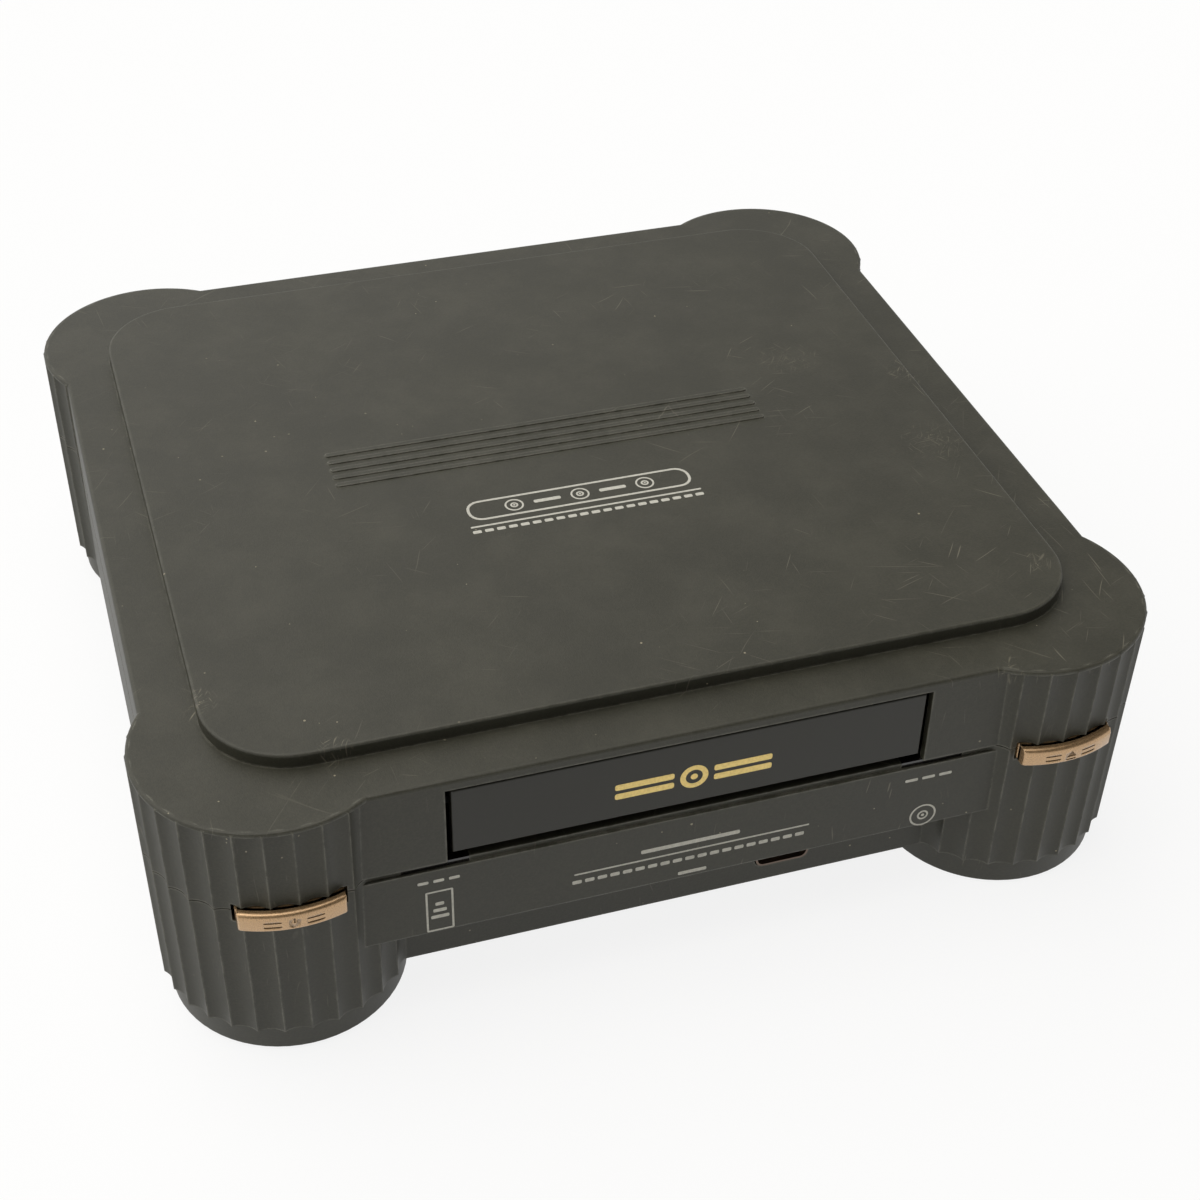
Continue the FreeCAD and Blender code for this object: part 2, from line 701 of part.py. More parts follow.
def bottom_case():
    shell = minus(lower_body(), lower_hollows())
    shell = joined([shell, rod_guide()] + screw_wells() + inner_posts() + locating_lips())
    cutters = underside_vents() + [button_slot(-1), button_slot(1)]
    cutters.append(keystone(SOCKET_SHELL_T + SOCKET_GAP, CHIN_Y - 1, CHIN_Y + WALL + 1))
    cutters.append(block(-PANEL_HALF_X, PANEL_HALF_X, PANEL_Y - 3, BODY_HALF_Y + 1, PANEL_LOW_Z, PANEL_TOP_Z))
    for x, y in pillar_places():
        cutters.append(column(WELL_BORE_R, 0, WELL_TOP_Z, x, y))
        cutters.append(pipe(FOOT_OUTER_R, FOOT_INNER_R, 0, FOOT_T, x, y))
    for side in (-1, 1):
        lens = side * LENS_X
        cutters.append(block(lens - LENS_HALF_X, lens + LENS_HALF_X, -BODY_HALF_Y, -BODY_HALF_Y + 5,
                             GROOVE_LOW_Z, SEAM_Z))
    return minus(shell, cutters)


def rubber_feet():
    return group(pipe(FOOT_OUTER_R, FOOT_INNER_R, 0, FOOT_T, x, y) for x, y in pillar_places())


def case_screws():
    """Long screws up the pillars: head under the seat, shank in the upper boss."""
    head_z = WELL_TOP_Z - 1.8
    profile = [(0, head_z), (SCREW_HEAD_R, head_z), (SCREW_HEAD_R, WELL_TOP_Z), (SCREW_SHANK_R, WELL_TOP_Z),
               (SCREW_SHANK_R, 72), (0, 73)]
    return group(turned(profile, x, y) for x, y in pillar_places())


def indicator_lens(side):
    """A smoked lens in the groove, with a light pipe that runs back from it."""
    x = side * LENS_X
    front = -BODY_HALF_Y + GROOVE_DEPTH
    lens = block(x - LENS_HALF_X, x + LENS_HALF_X, front, front + 3, GROOVE_LOW_Z, SEAM_Z - SEAM_GAP)
    light_pipe = block(x - 1.5, x + 1.5, front + 2, front + 12, GROOVE_LOW_Z, GROOVE_LOW_Z + 1.4)
    return joined([lens, light_pipe])


def indicator_lenses():
    return group([indicator_lens(-1), indicator_lens(1)])


# Buttons and switches

def on_button_face(edge, pillar_x):
    """True for the edges of the curved front face."""
    points = [vertex.Point for vertex in edge.Vertexes]
    radii = [math.hypot(point.x - pillar_x, point.y + PILLAR_Y) for point in points]
    return len(points) > 1 and min(radii) > BUTTON_FACE_R - 0.01


def button(side):
    """A bar curved like the pillar, with a flange that keeps it in the case, and a stem."""
    x = side * BUTTON_X
    pillar_x = side * PILLAR_X

    def curved(outer, inner, half_x, low, top):
        ring = pipe(outer, inner, low, top, pillar_x, -PILLAR_Y)
        return ring.common(block(x - half_x, x + half_x, -PILLAR_Y - 50, -PILLAR_Y - 18, low, top))

    bar = curved(BUTTON_FACE_R, 32.4, BUTTON_HALF_X, BUTTON_LOW_Z, BUTTON_TOP_Z)
    bar = bar.makeFillet(1.0, [edge for edge in bar.Edges if on_button_face(edge, pillar_x)])
    pocket = curved(38.6, 30, 12, BUTTON_LOW_Z + 1.8, BUTTON_TOP_Z - 1.8)
    pocket = pocket.cut(block(x - 4, x + 4, -PILLAR_Y - 50, 0, 0, RIM_Z))
    flange = curved(33.5, 31.4, 18, BUTTON_LOW_Z + 0.6, BUTTON_TOP_Z - 0.6)
    stem = block(x - STEM_HALF_X, x + STEM_HALF_X, -PILLAR_Y - 34, STEM_END_Y,
                 BUTTON_LOW_Z + 1, BUTTON_TOP_Z - 1)
    return minus(joined([bar, flange, stem]), [pocket])


def power_button():
    return button(-1)


def eject_button():
    return button(1)


def tangent_arc(start, corner, end):
    """The arc from start to end that touches both lines through the corner between them."""
    middle = (start + end) / 2
    half_chord = (end - start).Length / 2
    rise = corner - middle
    sagitta = half_chord * math.tan(math.atan(rise.Length / half_chord) / 2)
    return Part.Arc(start, middle + rise / rise.Length * sagitta, end).toShape()


def arc_pair(start, start_way, end, end_way):
    """Two arcs that leave start and reach end in the given directions, and meet smoothly."""
    chord = end - start
    ways = start_way + end_way
    openness = 2 * (1 - start_way.dot(end_way))
    along = chord.dot(ways)
    reach = (math.sqrt(along ** 2 + openness * chord.dot(chord)) - along) / openness
    first_corner = start + start_way * reach
    last_corner = end - end_way * reach
    joint = (first_corner + last_corner) / 2
    return [tangent_arc(start, first_corner, joint), tangent_arc(joint, last_corner, end)]


def coil_spring(x, y, z):
    """A compression spring along +Y that starts at the given point."""
    pitch = (SPRING_LENGTH - 2 * SPRING_WIRE_R) / SPRING_TURNS
    climb = pitch / (2 * math.pi * SPRING_R)
    points = []
    ways = []
    for quarter in range(4 * SPRING_TURNS + 1):
        angle = quarter * math.pi / 2
        points.append(V(SPRING_R * math.cos(angle), pitch * quarter / 4, SPRING_R * math.sin(angle)))
        ways.append(V(-math.sin(angle), climb, math.cos(angle)).normalize())
    arcs = []
    for index in range(4 * SPRING_TURNS):
        arcs += arc_pair(points[index], ways[index], points[index + 1], ways[index + 1])
    section = Part.Wire(Part.makeCircle(SPRING_WIRE_R, points[0], ways[0]))
    spring = Part.Wire(arcs).makePipeShell([section], True, False)
    return moved(spring, x, y + SPRING_WIRE_R, z)


def push_switch(x, y, z, base_z):
    """A push switch whose nose points to -Y inside the return spring."""
    body = block(x - SWITCH_HALF_X, x + SWITCH_HALF_X, y, y + SWITCH_DEPTH, base_z, z + 5)
    nose = rod_y(1.2, y - SWITCH_NOSE, y + 1, x, z)
    return joined([body, nose])


def eject_spring():
    return coil_spring(BUTTON_X, STEM_END_Y, BUTTON_Z)


def eject_switch():
    return push_switch(BUTTON_X, EJECT_SWITCH_Y, BUTTON_Z, BUTTON_Z - 5)


def front_board():
    """The small upright board behind the right button, standing on the pillar's floor."""
    front = EJECT_SWITCH_Y + SWITCH_DEPTH
    return block(BUTTON_X - 14, BUTTON_X + 12, front, front + BOARD_T, PILLAR_FLOOR_Z, BUTTON_Z + 6)


def power_rod():
    """The rod from the left button down and back to the switch on the power board."""
    half = POWER_ROD_HALF
    left = ROD_LINE_X - half
    right = ROD_LINE_X + half
    arm_top = BUTTON_Z + half
    arm_back = STEM_END_Y + 3.6
    arm = block(-BUTTON_X - STEM_HALF_X, right, STEM_END_Y, arm_back, arm_top - 2 * half, arm_top)
    leg = block(left, right, STEM_END_Y, arm_back, POWER_ROD_Z - half, arm_top)
    run = block(left, right, STEM_END_Y, POWER_ROD_END_Y, POWER_ROD_Z - half, POWER_ROD_Z + half)
    collar = block(ROD_LINE_X - 3.2, ROD_LINE_X + 3.2, POWER_ROD_END_Y - 2, POWER_ROD_END_Y,
                   POWER_ROD_Z - 3.2, POWER_ROD_Z + 3.2)
    return joined([arm, leg, run, collar])


def power_spring():
    return coil_spring(ROD_LINE_X, POWER_ROD_END_Y, POWER_ROD_Z)


def power_switch():
    return push_switch(ROD_LINE_X, POWER_ROD_END_Y + SPRING_LENGTH, POWER_ROD_Z, BOARD_TOP_Z)


# Controller socket

def socket_pin_places():
    """Five pins above four, centred in the socket."""
    upper = [(SOCKET_X + SOCKET_PIN_PITCH * (index - 2), 23.4) for index in range(5)]
    lower = [(SOCKET_X + SOCKET_PIN_PITCH * (index - 1.5), 20.5) for index in range(4)]
    return upper + lower


def controller_socket():
    """The moulded body behind the chin, hollow in front of the pins."""
    body = block(SOCKET_X - 13.5, SOCKET_X + 13.5, SOCKET_SEAT_Y, SOCKET_BACK_Y, 14.4, 29.4)
    body = body.cut(keystone(SOCKET_SHELL_T, SOCKET_SEAT_Y - 1, SOCKET_FLOOR_Y))
    return minus(body, [rod_y(SOCKET_PIN_R, SOCKET_FLOOR_Y - 1, SOCKET_BACK_Y + 1, x, z)
                        for x, z in socket_pin_places()])


def controller_shell():
    """The thin metal sleeve round the pins."""
    outer = keystone(SOCKET_SHELL_T, SOCKET_FACE_Y, SOCKET_FLOOR_Y)
    return outer.cut(keystone(0, SOCKET_FACE_Y - 1, SOCKET_FLOOR_Y + 1))


def controller_pins():
    return group(rod_y(SOCKET_PIN_R, SOCKET_PIN_Y, SOCKET_BACK_Y, x, z) for x, z in socket_pin_places())


# Disc tray and door

def tray_wells():
    """The round wells, the slot for the disc drive and the finger scoops."""
    slot = block(-SLOT_HALF_X, SLOT_HALF_X, SLOT_FRONT_Y, SLOT_REAR_Y, TRAY_LOW_Z - 1, TRAY_TOP_Z + 1)
    large = column(DISC_WELL_R, DISC_WELL_Z, TRAY_TOP_Z + 1, 0, DISC_Y)
    small = column(SMALL_WELL_R, SMALL_WELL_Z, TRAY_TOP_Z + 1, 0, DISC_Y)
    scoop = column(SCOOP_R, DISC_WELL_Z - 0.6, TRAY_TOP_Z + 1, SCOOP_X, TRAIN_Y)
    return [slot, large, small] + both_sides(scoop)


def disc_tray():
    slab = rounded_block(-TRAY_HALF_X, TRAY_HALF_X, TRAY_FRONT_Y, TRAY_REAR_Y, TRAY_LOW_Z, TRAY_TOP_Z, 2.0)
    square_front = block(-TRAY_HALF_X, TRAY_HALF_X, TRAY_FRONT_Y, TRAY_FRONT_Y + 3, TRAY_LOW_Z, TRAY_TOP_Z)
    carrier = block(-60, 60, TRAY_FRONT_Y, TRAY_FRONT_Y + 2, 66, TRAY_TOP_Z)
    inner_x = TRAY_HALF_X - TRAY_WALL
    underside = block(-inner_x, inner_x, TRAY_FRONT_Y + 3.2, TRAY_REAR_Y - 3,
                      TRAY_LOW_Z - 1, TRAY_FLOOR_LOW_Z)
    slab = minus(joined([slab, square_front, carrier]), [underside] + tray_wells())
    rail = block(inner_x, RAIL_HALF_X, -126, TRAY_REAR_Y + 6, RAIL_LOW_Z, RAIL_TOP_Z)
    web = block(-inner_x - 0.5, RACK_PITCH_X - 2.15, TRAY_FRONT_Y + 3, 16, RACK_LOW_Z, TRAY_FLOOR_LOW_Z + 0.5)
    teeth = rack(RACK_MODULE, RACK_PITCH_X, -62, -121, 16, TRAIN_Y, RACK_LOW_Z, TRAY_LOW_Z)
    return joined([slab, web, teeth] + both_sides(rail))


def tray_door():
    front_y = TRAY_FRONT_Y - DOOR_T
    panel = block(-DOOR_HALF_X, DOOR_HALF_X, front_y, TRAY_FRONT_Y, DOOR_LOW_Z, DOOR_TOP_Z)
    panel = panel.makeFillet(0.7, [edge for edge in panel.Edges if abs(edge.CenterOfMass.y - front_y) < 1e-3])
    clip = block(62, 66, TRAY_FRONT_Y - 0.5, TRAY_FRONT_Y + 2.8, 70, TRAY_LOW_Z)
    return joined([panel] + both_sides(clip))


# Tray drive

def chassis_side():
    """One side wall with its two ledges for the tray's rail, its windows, and the lift's ear."""
    inner = CHASSIS_HALF_X - CHASSIS_WALL
    ledge_x = TRAY_HALF_X + 1
    wall = block(inner, CHASSIS_HALF_X, CHASSIS_FRONT_Y, CHASSIS_REAR_Y, DECK_LOW_Z, CHASSIS_TOP_Z)
    lower_ledge = block(ledge_x, inner + 0.5, -132, 30, RAIL_LOW_Z - 2.8, RAIL_LOW_Z - RAIL_GAP)
    upper_ledge = block(ledge_x, inner + 0.5, -132, 30, RAIL_TOP_Z + RAIL_GAP, RAIL_TOP_Z + 2.8)
    windows = [block(inner - 1, CHASSIS_HALF_X + 1, y - 15, y + 15, 59, 71) for y in (-108, -60, -12)]
    ear = block(DECK_OPENING_HALF_X, DECK_OPENING_HALF_X + 4, 18, 30, DECK_LOW_Z, LIFT_TOP_Z)
    return [minus(joined([wall, lower_ledge, upper_ledge]), windows), ear]


def chassis_posts():
    """The axles of the two gears, and the headed posts that the cam slider runs under."""
    shapes = []
    for x, top in ((PINION_X, PINION_TOP_Z), (PULLEY_X, 69.0)):
        shapes.append(column(4, DECK_TOP_Z - 0.5, WHEEL_LOW_Z - 0.2, x, TRAIN_Y))
        shapes.append(column(AXLE_R, DECK_TOP_Z, top, x, TRAIN_Y))
    for x in SLIDER_POSTS:
        shapes.append(column(1.5, DECK_TOP_Z - 0.5, 58, x, SLIDER_SLOT_Y))
        shapes.append(column(2.8, 57.7, 58.7, x, SLIDER_SLOT_Y))
    return shapes


def drive_chassis():
    """The open frame that carries the tray's rails, the gears and the lift."""
    inner = CHASSIS_HALF_X - CHASSIS_WALL
    deck = block(-CHASSIS_HALF_X, CHASSIS_HALF_X, CHASSIS_FRONT_Y, CHASSIS_REAR_Y, DECK_LOW_Z, DECK_TOP_Z)
    rear = block(-inner - 0.5, inner + 0.5, CHASSIS_REAR_Y - 2, CHASSIS_REAR_Y, DECK_LOW_Z, 73)
    shapes = [deck, rear] + chassis_posts()
    for piece in chassis_side():
        shapes += both_sides(piece)
    cutters = [block(-DECK_OPENING_HALF_X, DECK_OPENING_HALF_X, DECK_OPENING_FRONT_Y, 30,
                     DECK_LOW_Z - 1, DECK_TOP_Z + 1)]
    cutters.append(rod_x(LIFT_PIN_R + RUNNING_FIT, -60, 60, LIFT_Y, LIFT_Z))
    cutters += [column(1.7, DECK_LOW_Z - 1, DECK_TOP_Z + 1, x, y) for x, y in leg_places()]
    cutters.append(column(2.2, DECK_LOW_Z - 1, DECK_TOP_Z + 1, MOTOR_X, TRAIN_Y))
    return minus(joined(shapes), cutters)


def drive_screws():
    """Screws through the deck into the four legs."""
    profile = [(0, 46), (LEG_HOLE_R, 46), (LEG_HOLE_R, DECK_TOP_Z), (3.1, DECK_TOP_Z), (3.1, 57.2),
               (2.2, 58), (0, 58)]
    return group(turned(profile, x, y) for x, y in leg_places())


def tray_pinion():
    """A wheel and a pinion in one piece on an upright axle."""
    hub = column(3.2, WHEEL_LOW_Z, PINION_TOP_Z, PINION_X, TRAIN_Y)
    wheel = gear(WHEEL_TEETH, TRAIN_MODULE, WHEEL_LOW_Z, WHEEL_TOP_Z, PINION_X, TRAIN_Y)
    pinion = gear(PINION_TEETH, RACK_MODULE, 69.5, PINION_TOP_Z, PINION_X, TRAIN_Y, 180)
    holes = [column(1.6, WHEEL_LOW_Z - 1, WHEEL_TOP_Z + 1, PINION_X + 8.6 * math.cos(angle),
                    TRAIN_Y + 8.6 * math.sin(angle)) for angle in (0.5, 2.6, 4.7)]
    bore = column(AXLE_R + RUNNING_FIT, WHEEL_LOW_Z - 1, PINION_TOP_Z + 1, PINION_X, TRAIN_Y)
    return minus(joined([wheel, hub, pinion]), holes + [bore])


def pulley_gear():
    """A small gear under a grooved pulley, in mesh with the wheel."""
    teeth = gear(PULLEY_TEETH, TRAIN_MODULE, WHEEL_LOW_Z, 64.6, PULLEY_X, TRAIN_Y, 180 / PULLEY_TEETH)
    profile = [(0, 64.4), (13, 64.4), (13, 65.1), (PULLEY_GROOVE_R, 65.4), (PULLEY_GROOVE_R, 67.0),
               (13, 67.3), (13, 68.0), (0, 68.0)]
    bore = column(AXLE_R + RUNNING_FIT, WHEEL_LOW_Z - 1, 69, PULLEY_X, TRAIN_Y)
    return joined([teeth, turned(profile, PULLEY_X, TRAIN_Y)]).cut(bore)


def motor_pulley():
    """The small grooved pulley on the loading motor's shaft."""
    profile = [(0, 49.5), (MOTOR_SHAFT_R, 49.5), (MOTOR_SHAFT_R, 63.5), (4.4, 63.5), (4.4, 65.1),
               (MOTOR_GROOVE_R, 65.4),
               (MOTOR_GROOVE_R, 67.0), (4.4, 67.3), (4.4, 68.0), (0, 68.0)]
    return turned(profile, MOTOR_X, TRAIN_Y)


def loading_motor():
    """A small can motor that hangs under the deck."""
    profile = [(0, 34.8), (2.6, 34.8), (2.6, 36), (7.2, 36), (8, 36.8), (8, DECK_LOW_Z), (0, DECK_LOW_Z)]
    bore = column(MOTOR_SHAFT_R + RUNNING_FIT, 49, 55, MOTOR_X, TRAIN_Y)
    return turned(profile, MOTOR_X, TRAIN_Y).cut(bore)


def belt_outline(large, small, z):
    """Two arcs joined by the two straight runs of a belt round two pulleys."""
    span = MOTOR_X - PULLEY_X
    across = (large - small) / span
    along = math.sqrt(1 - across ** 2)
    large_top = V(PULLEY_X + large * across, TRAIN_Y + large * along, z)
    large_low = V(PULLEY_X + large * across, TRAIN_Y - large * along, z)
    small_top = V(MOTOR_X + small * across, TRAIN_Y + small * along, z)
    small_low = V(MOTOR_X + small * across, TRAIN_Y - small * along, z)
    far_left = V(PULLEY_X - large, TRAIN_Y, z)
    far_right = V(MOTOR_X + small, TRAIN_Y, z)
    large_arc = Part.Arc(large_top, far_left, large_low).toShape()
    small_arc = Part.Arc(small_low, far_right, small_top).toShape()
    near_run = Part.makeLine(large_low, small_low)
    far_run = Part.makeLine(small_top, large_top)
    return Part.Wire([large_arc, near_run, small_arc, far_run])


def loading_belt():
    low = BELT_Z - BELT_T / 2
    large = PULLEY_GROOVE_R + BELT_CLEARANCE
    small = MOTOR_GROOVE_R + BELT_CLEARANCE
    inner = Part.Face(belt_outline(large, small, low))
    outer = Part.Face(belt_outline(large + BELT_T, small + BELT_T, low))
    return outer.cut(inner).extrude(V(0, 0, BELT_T))


# Clamp over the disc

def clamp_bridge():
    """The plate across the chassis that holds the clamper, with its edges turned up."""
    low = CHASSIS_TOP_Z
    half_x = CHASSIS_HALF_X
    plate = block(-half_x, half_x, DISC_Y - BRIDGE_HALF_Y, DISC_Y + BRIDGE_HALF_Y, low, low + BRIDGE_T)
    lips = [block(-half_x + 4, half_x - 4, y, y + BRIDGE_T, low, low + 2.8)
            for y in (DISC_Y - BRIDGE_HALF_Y - BRIDGE_T, DISC_Y + BRIDGE_HALF_Y)]
    return joined([plate] + lips).cut(column(BRIDGE_HOLE_R, low - 1, low + 4, 0, DISC_Y))


def clamper():
    """The free-turning disc clamp, held in the bridge by its upper flange."""
    low = 83.8
    pressing_face = [(0, low), (7.8, low), (7.8, low + 0.5), (11, low + 0.5), (11, low), (14, low)]
    waist = [(14, 85.0), (10.6, 85.0), (10.6, 86.55), (13.4, 86.55)]
    profile = pressing_face + waist + [(13.4, 87.4), (12.6, 88.0), (0, 88.0)]
    return turned(profile, 0, DISC_Y)


# Lift

def damper_places():
    return [(side * DAMPER_X, y) for side in (-1, 1) for y in DAMPER_YS]


def lift_frame():
    """The frame that swings up on two pins to bring the disc drive to the tray."""
    low = LIFT_Z - 1
    top = LIFT_TOP_Z + 1
    plate = block(-LIFT_HALF_X, LIFT_HALF_X, LIFT_FRONT_Y, LIFT_REAR_Y, LIFT_Z, LIFT_TOP_Z)
    cutters = [block(-34, 34, -86, 16, low, top), block(-45.5, 45.5, -77, -11, low, top),
               block(-44, 44, 20, LIFT_REAR_Y + 1, low, top),
               block(-40, 40, LIFT_FRONT_Y + 2.4, -88.4, low, LIFT_TOP_Z - 2)]
    cutters += [column(DAMPER_NECK_R, LIFT_TOP_Z - 3, top, x, y) for x, y in damper_places()]
    hinge = rod_x(4, 44, LIFT_HALF_X, LIFT_Y, LIFT_Z)
    pin = rod_x(LIFT_PIN_R, LIFT_HALF_X - 1, 57.5, LIFT_Y, LIFT_Z)
    cam_pin = rod_y(CAM_PIN_R, CAM_PLATE_Y - 0.8, LIFT_FRONT_Y + 1, CAM_PIN_X, CAM_PIN_Z)
    added = both_sides(hinge) + both_sides(pin) + both_sides(cam_pin)
    return tilted(joined([minus(plate, cutters)] + added))


def damper_rubbers():
    """Rubber bushes between the lift frame and the traverse plate."""
    profile = [(0, LIFT_TOP_Z - 3), (DAMPER_NECK_R, LIFT_TOP_Z - 3), (DAMPER_NECK_R, LIFT_TOP_Z),
               (DAMPER_R, LIFT_TOP_Z), (DAMPER_R, PLATE_LOW_Z), (DAMPER_NECK_R, PLATE_LOW_Z),
               (DAMPER_NECK_R, PLATE_TOP_Z), (DAMPER_R, PLATE_TOP_Z), (DAMPER_R - 0.8, PLATE_TOP_Z + 1.2),
               (0, PLATE_TOP_Z + 1.2)]
    return tilted(group(turned(profile, x, y) for x, y in damper_places()))


def guide_rod_cylinders():
    return [rod_y(ROD_R, -63, 1, x, ROD_Z) for x in (-ROD_X, ROD_X)]


def traverse_plate():
    """The steel plate that carries the spindle motor, the guide rods and the sled gear."""
    plate = rounded_block(-PLATE_HALF_X, PLATE_HALF_X, -92, 2, PLATE_LOW_Z, PLATE_TOP_Z, 4.0)
    opening_x = SLED_HALF_X + 1.2
    plate = plate.cut(block(-opening_x, opening_x, -59.6, -1.8, PLATE_LOW_Z - 1, PLATE_TOP_Z + 1))
    holders = [block(x - 3, x + 3, y0, y1, PLATE_LOW_Z, ROD_Z + 2.6)
               for x in (-ROD_X, ROD_X) for y0, y1 in ((-65, -60), (-1.4, 2))]
    axle = column(SLED_AXLE_R, PLATE_LOW_Z, 76, SLED_GEAR_X, SLED_GEAR_Y)
    cutters = [column(DAMPER_NECK_R, PLATE_LOW_Z - 1, PLATE_TOP_Z + 1, x, y) for x, y in damper_places()]
    cutters += guide_rod_cylinders()
    cutters.append(column(3.0, PLATE_LOW_Z - 1, PLATE_TOP_Z + 1, 0, DISC_Y))
    cutters.append(column(1.6, PLATE_LOW_Z - 1, PLATE_TOP_Z + 1, SLED_GEAR_X, SLED_MOTOR_Y))
    return tilted(minus(joined([plate, axle] + holders), cutters))


def guide_rods():
    return tilted(group(guide_rod_cylinders()))


def spindle_motor():
    profile = [(0, 60), (10, 60), (10, 61.4), (12.5, 62.2), (12.5, PLATE_LOW_Z), (0, PLATE_LOW_Z)]
    bore = column(SPINDLE_R + RUNNING_FIT, 61, PLATE_TOP_Z, 0, DISC_Y)
    return tilted(turned(profile, 0, DISC_Y).cut(bore))


def spindle_shaft():
    return tilted(column(SPINDLE_R, 61.5, 76, 0, DISC_Y))


def turntable():
    """The disc table: a rim that the disc lies on, and a cone that centres the disc."""
    profile = [(0, 76), (SPINDLE_R, 76), (SPINDLE_R, 70.2), (4, 70.2), (4, 77.3), (TURNTABLE_R, 77.3),
               (TURNTABLE_R, TURNTABLE_Z), (10.6, TURNTABLE_Z), (10.6, 79.7), (8.6, 79.7), (7.4, 80.9),
               (6.6, TURNTABLE_BOSS_Z), (4.2, TURNTABLE_BOSS_Z), (4.2, 80.4), (0, 80.4)]
    return tilted(turned(profile, 0, DISC_Y))


def pickup_sled():
    """The pickup's base, which slides on the two guide rods, with its rack."""
    front = SLED_Y - SLED_HALF_Y
    back = SLED_Y + SLED_HALF_Y
    upper = block(-SLED_HALF_X, SLED_HALF_X, front, back, 69.6, SLED_TOP_Z)
    lower = block(-20, 20, front + 1, back - 1, 65.5, 69.7)
    strip = rack(SLED_PINION_MODULE, SLED_RACK_X, SLED_HALF_X - 1, SLED_Y - 17, SLED_Y + 19, SLED_GEAR_Y,
                 SLED_RACK_LOW_Z, SLED_TOP_Z)
    cutters = [rod_y(ROD_R + RUNNING_FIT, front - 1, back + 1, x, ROD_Z) for x in (-ROD_X, ROD_X)]
    cutters.append(block(-11, 11, SLED_Y - 7.5, SLED_Y + 7.5, 70.6, SLED_TOP_Z + 1))
    cutters.append(block(-24, -17, front + 3, back - 3, SLED_TOP_Z - 1.2, SLED_TOP_Z + 1))
    return tilted(minus(joined([upper, lower, strip]), cutters))


def lens_holder():
    """The actuator's moving part, with the lens barrel."""
    body = rounded_block(-8, 8, SLED_Y - 5.5, SLED_Y + 5.5, 71.6, 75.4, 1.5)
    barrel = column(LENS_BARREL_R + 0.8, 75, LENS_TOP_Z + 0.2, 0, SLED_Y)
    return tilted(joined([body, barrel]).cut(column(LENS_R, LENS_TOP_Z - 5, LENS_TOP_Z + 1, 0, SLED_Y)))


def objective_lens():
    """A small lens with a domed top, seated in the barrel."""
    dome_r = (LENS_R ** 2 + LENS_RISE ** 2) / (2 * LENS_RISE)
    dome = Part.makeSphere(dome_r, V(0, SLED_Y, LENS_TOP_Z - dome_r))
    return tilted(column(LENS_R, LENS_TOP_Z - LENS_RISE - 1.2, LENS_TOP_Z, 0, SLED_Y).common(dome))


def sled_gear():
    wheel = gear(SLED_WHEEL_TEETH, SLED_WHEEL_MODULE, 69.6, 71.4, SLED_GEAR_X, SLED_GEAR_Y,
                 180 / SLED_WHEEL_TEETH)
    pinion = gear(SLED_PINION_TEETH, SLED_PINION_MODULE, 71.2, SLED_TOP_Z, SLED_GEAR_X, SLED_GEAR_Y)
    bore = column(SLED_AXLE_R + RUNNING_FIT, 69, SLED_TOP_Z + 1, SLED_GEAR_X, SLED_GEAR_Y)
    return tilted(joined([wheel, pinion]).cut(bore))


def sled_motor():
    low = 58.4
    profile = [(0, low - 1), (2, low - 1), (2, low), (5.8, low), (6.5, low + 0.8),
               (6.5, PLATE_LOW_Z), (0, PLATE_LOW_Z)]
    motor = turned(profile, SLED_GEAR_X, SLED_MOTOR_Y)
    return tilted(motor.cut(column(SLED_SHAFT_R + RUNNING_FIT, 63, 69, SLED_GEAR_X, SLED_MOTOR_Y)))


def sled_motor_pinion():
    shaft = column(SLED_SHAFT_R, 63.5, 71.8, SLED_GEAR_X, SLED_MOTOR_Y)
    teeth = gear(SLED_MOTOR_TEETH, SLED_WHEEL_MODULE, 69.4, 71.8, SLED_GEAR_X, SLED_MOTOR_Y, -90)
    return tilted(joined([shaft, teeth]))


# Cam slider

def cam_pin_height(angle):
    """The height of the cam pins when the lift frame hangs down by an angle in degrees."""
    turn = math.radians(angle)
    return LIFT_Z + (CAM_PIN_Y - LIFT_Y) * math.sin(turn) + (CAM_PIN_Z - LIFT_Z) * math.cos(turn)


def cam_slider():
    """The sliding plate whose two slanted slots raise and lower the lift frame's pins."""
    face_y = CAM_PLATE_Y
    back_y = CAM_PLATE_Y + CAM_PLATE_T
    plate = block(SLIDER_LEFT_X, SLIDER_RIGHT_X, face_y, back_y, 48.5, 67.0)
    flange = block(SLIDER_LEFT_X, SLIDER_RIGHT_X, -112, back_y, 56.2, 57.4)
    low_z = cam_pin_height(LIFT_ANGLE)
    half = SLIDER_SLOT_HALF
    cutters = [slot_bar(x - CAM_TRAVEL, CAM_PIN_Z, x, low_z, CAM_SLOT_HALF, face_y - 1.2, back_y + 1)
               for x in (CAM_PIN_X, -CAM_PIN_X)]
    cutters += [block(x - CAM_TRAVEL - half, x + half, SLIDER_SLOT_Y - half, SLIDER_SLOT_Y + half, 56, 58)
                for x in SLIDER_POSTS]
    return minus(joined([plate, flange]), cutters)


# Boards and what stands on them

def board(bounds, posts, legs):
    x0, x1, y0, y1 = bounds
    plate = block(x0, x1, y0, y1, BOARD_Z, BOARD_TOP_Z)
    cutters = [column(1.4, BOARD_Z - 1, BOARD_TOP_Z + 1, x, y) for x, y in posts]
    cutters += [column(LEG_R + 0.6, BOARD_Z - 1, BOARD_TOP_Z + 1, x, y) for x, y in legs]
    return minus(plate, cutters)


def main_board():
    return board(MAIN_BOARD, MAIN_POSTS, [(LEG_X, LEG_FRONT_Y), (LEG_X, LEG_REAR_Y)])


def power_board():
    return board(POWER_BOARD, POWER_POSTS, [])


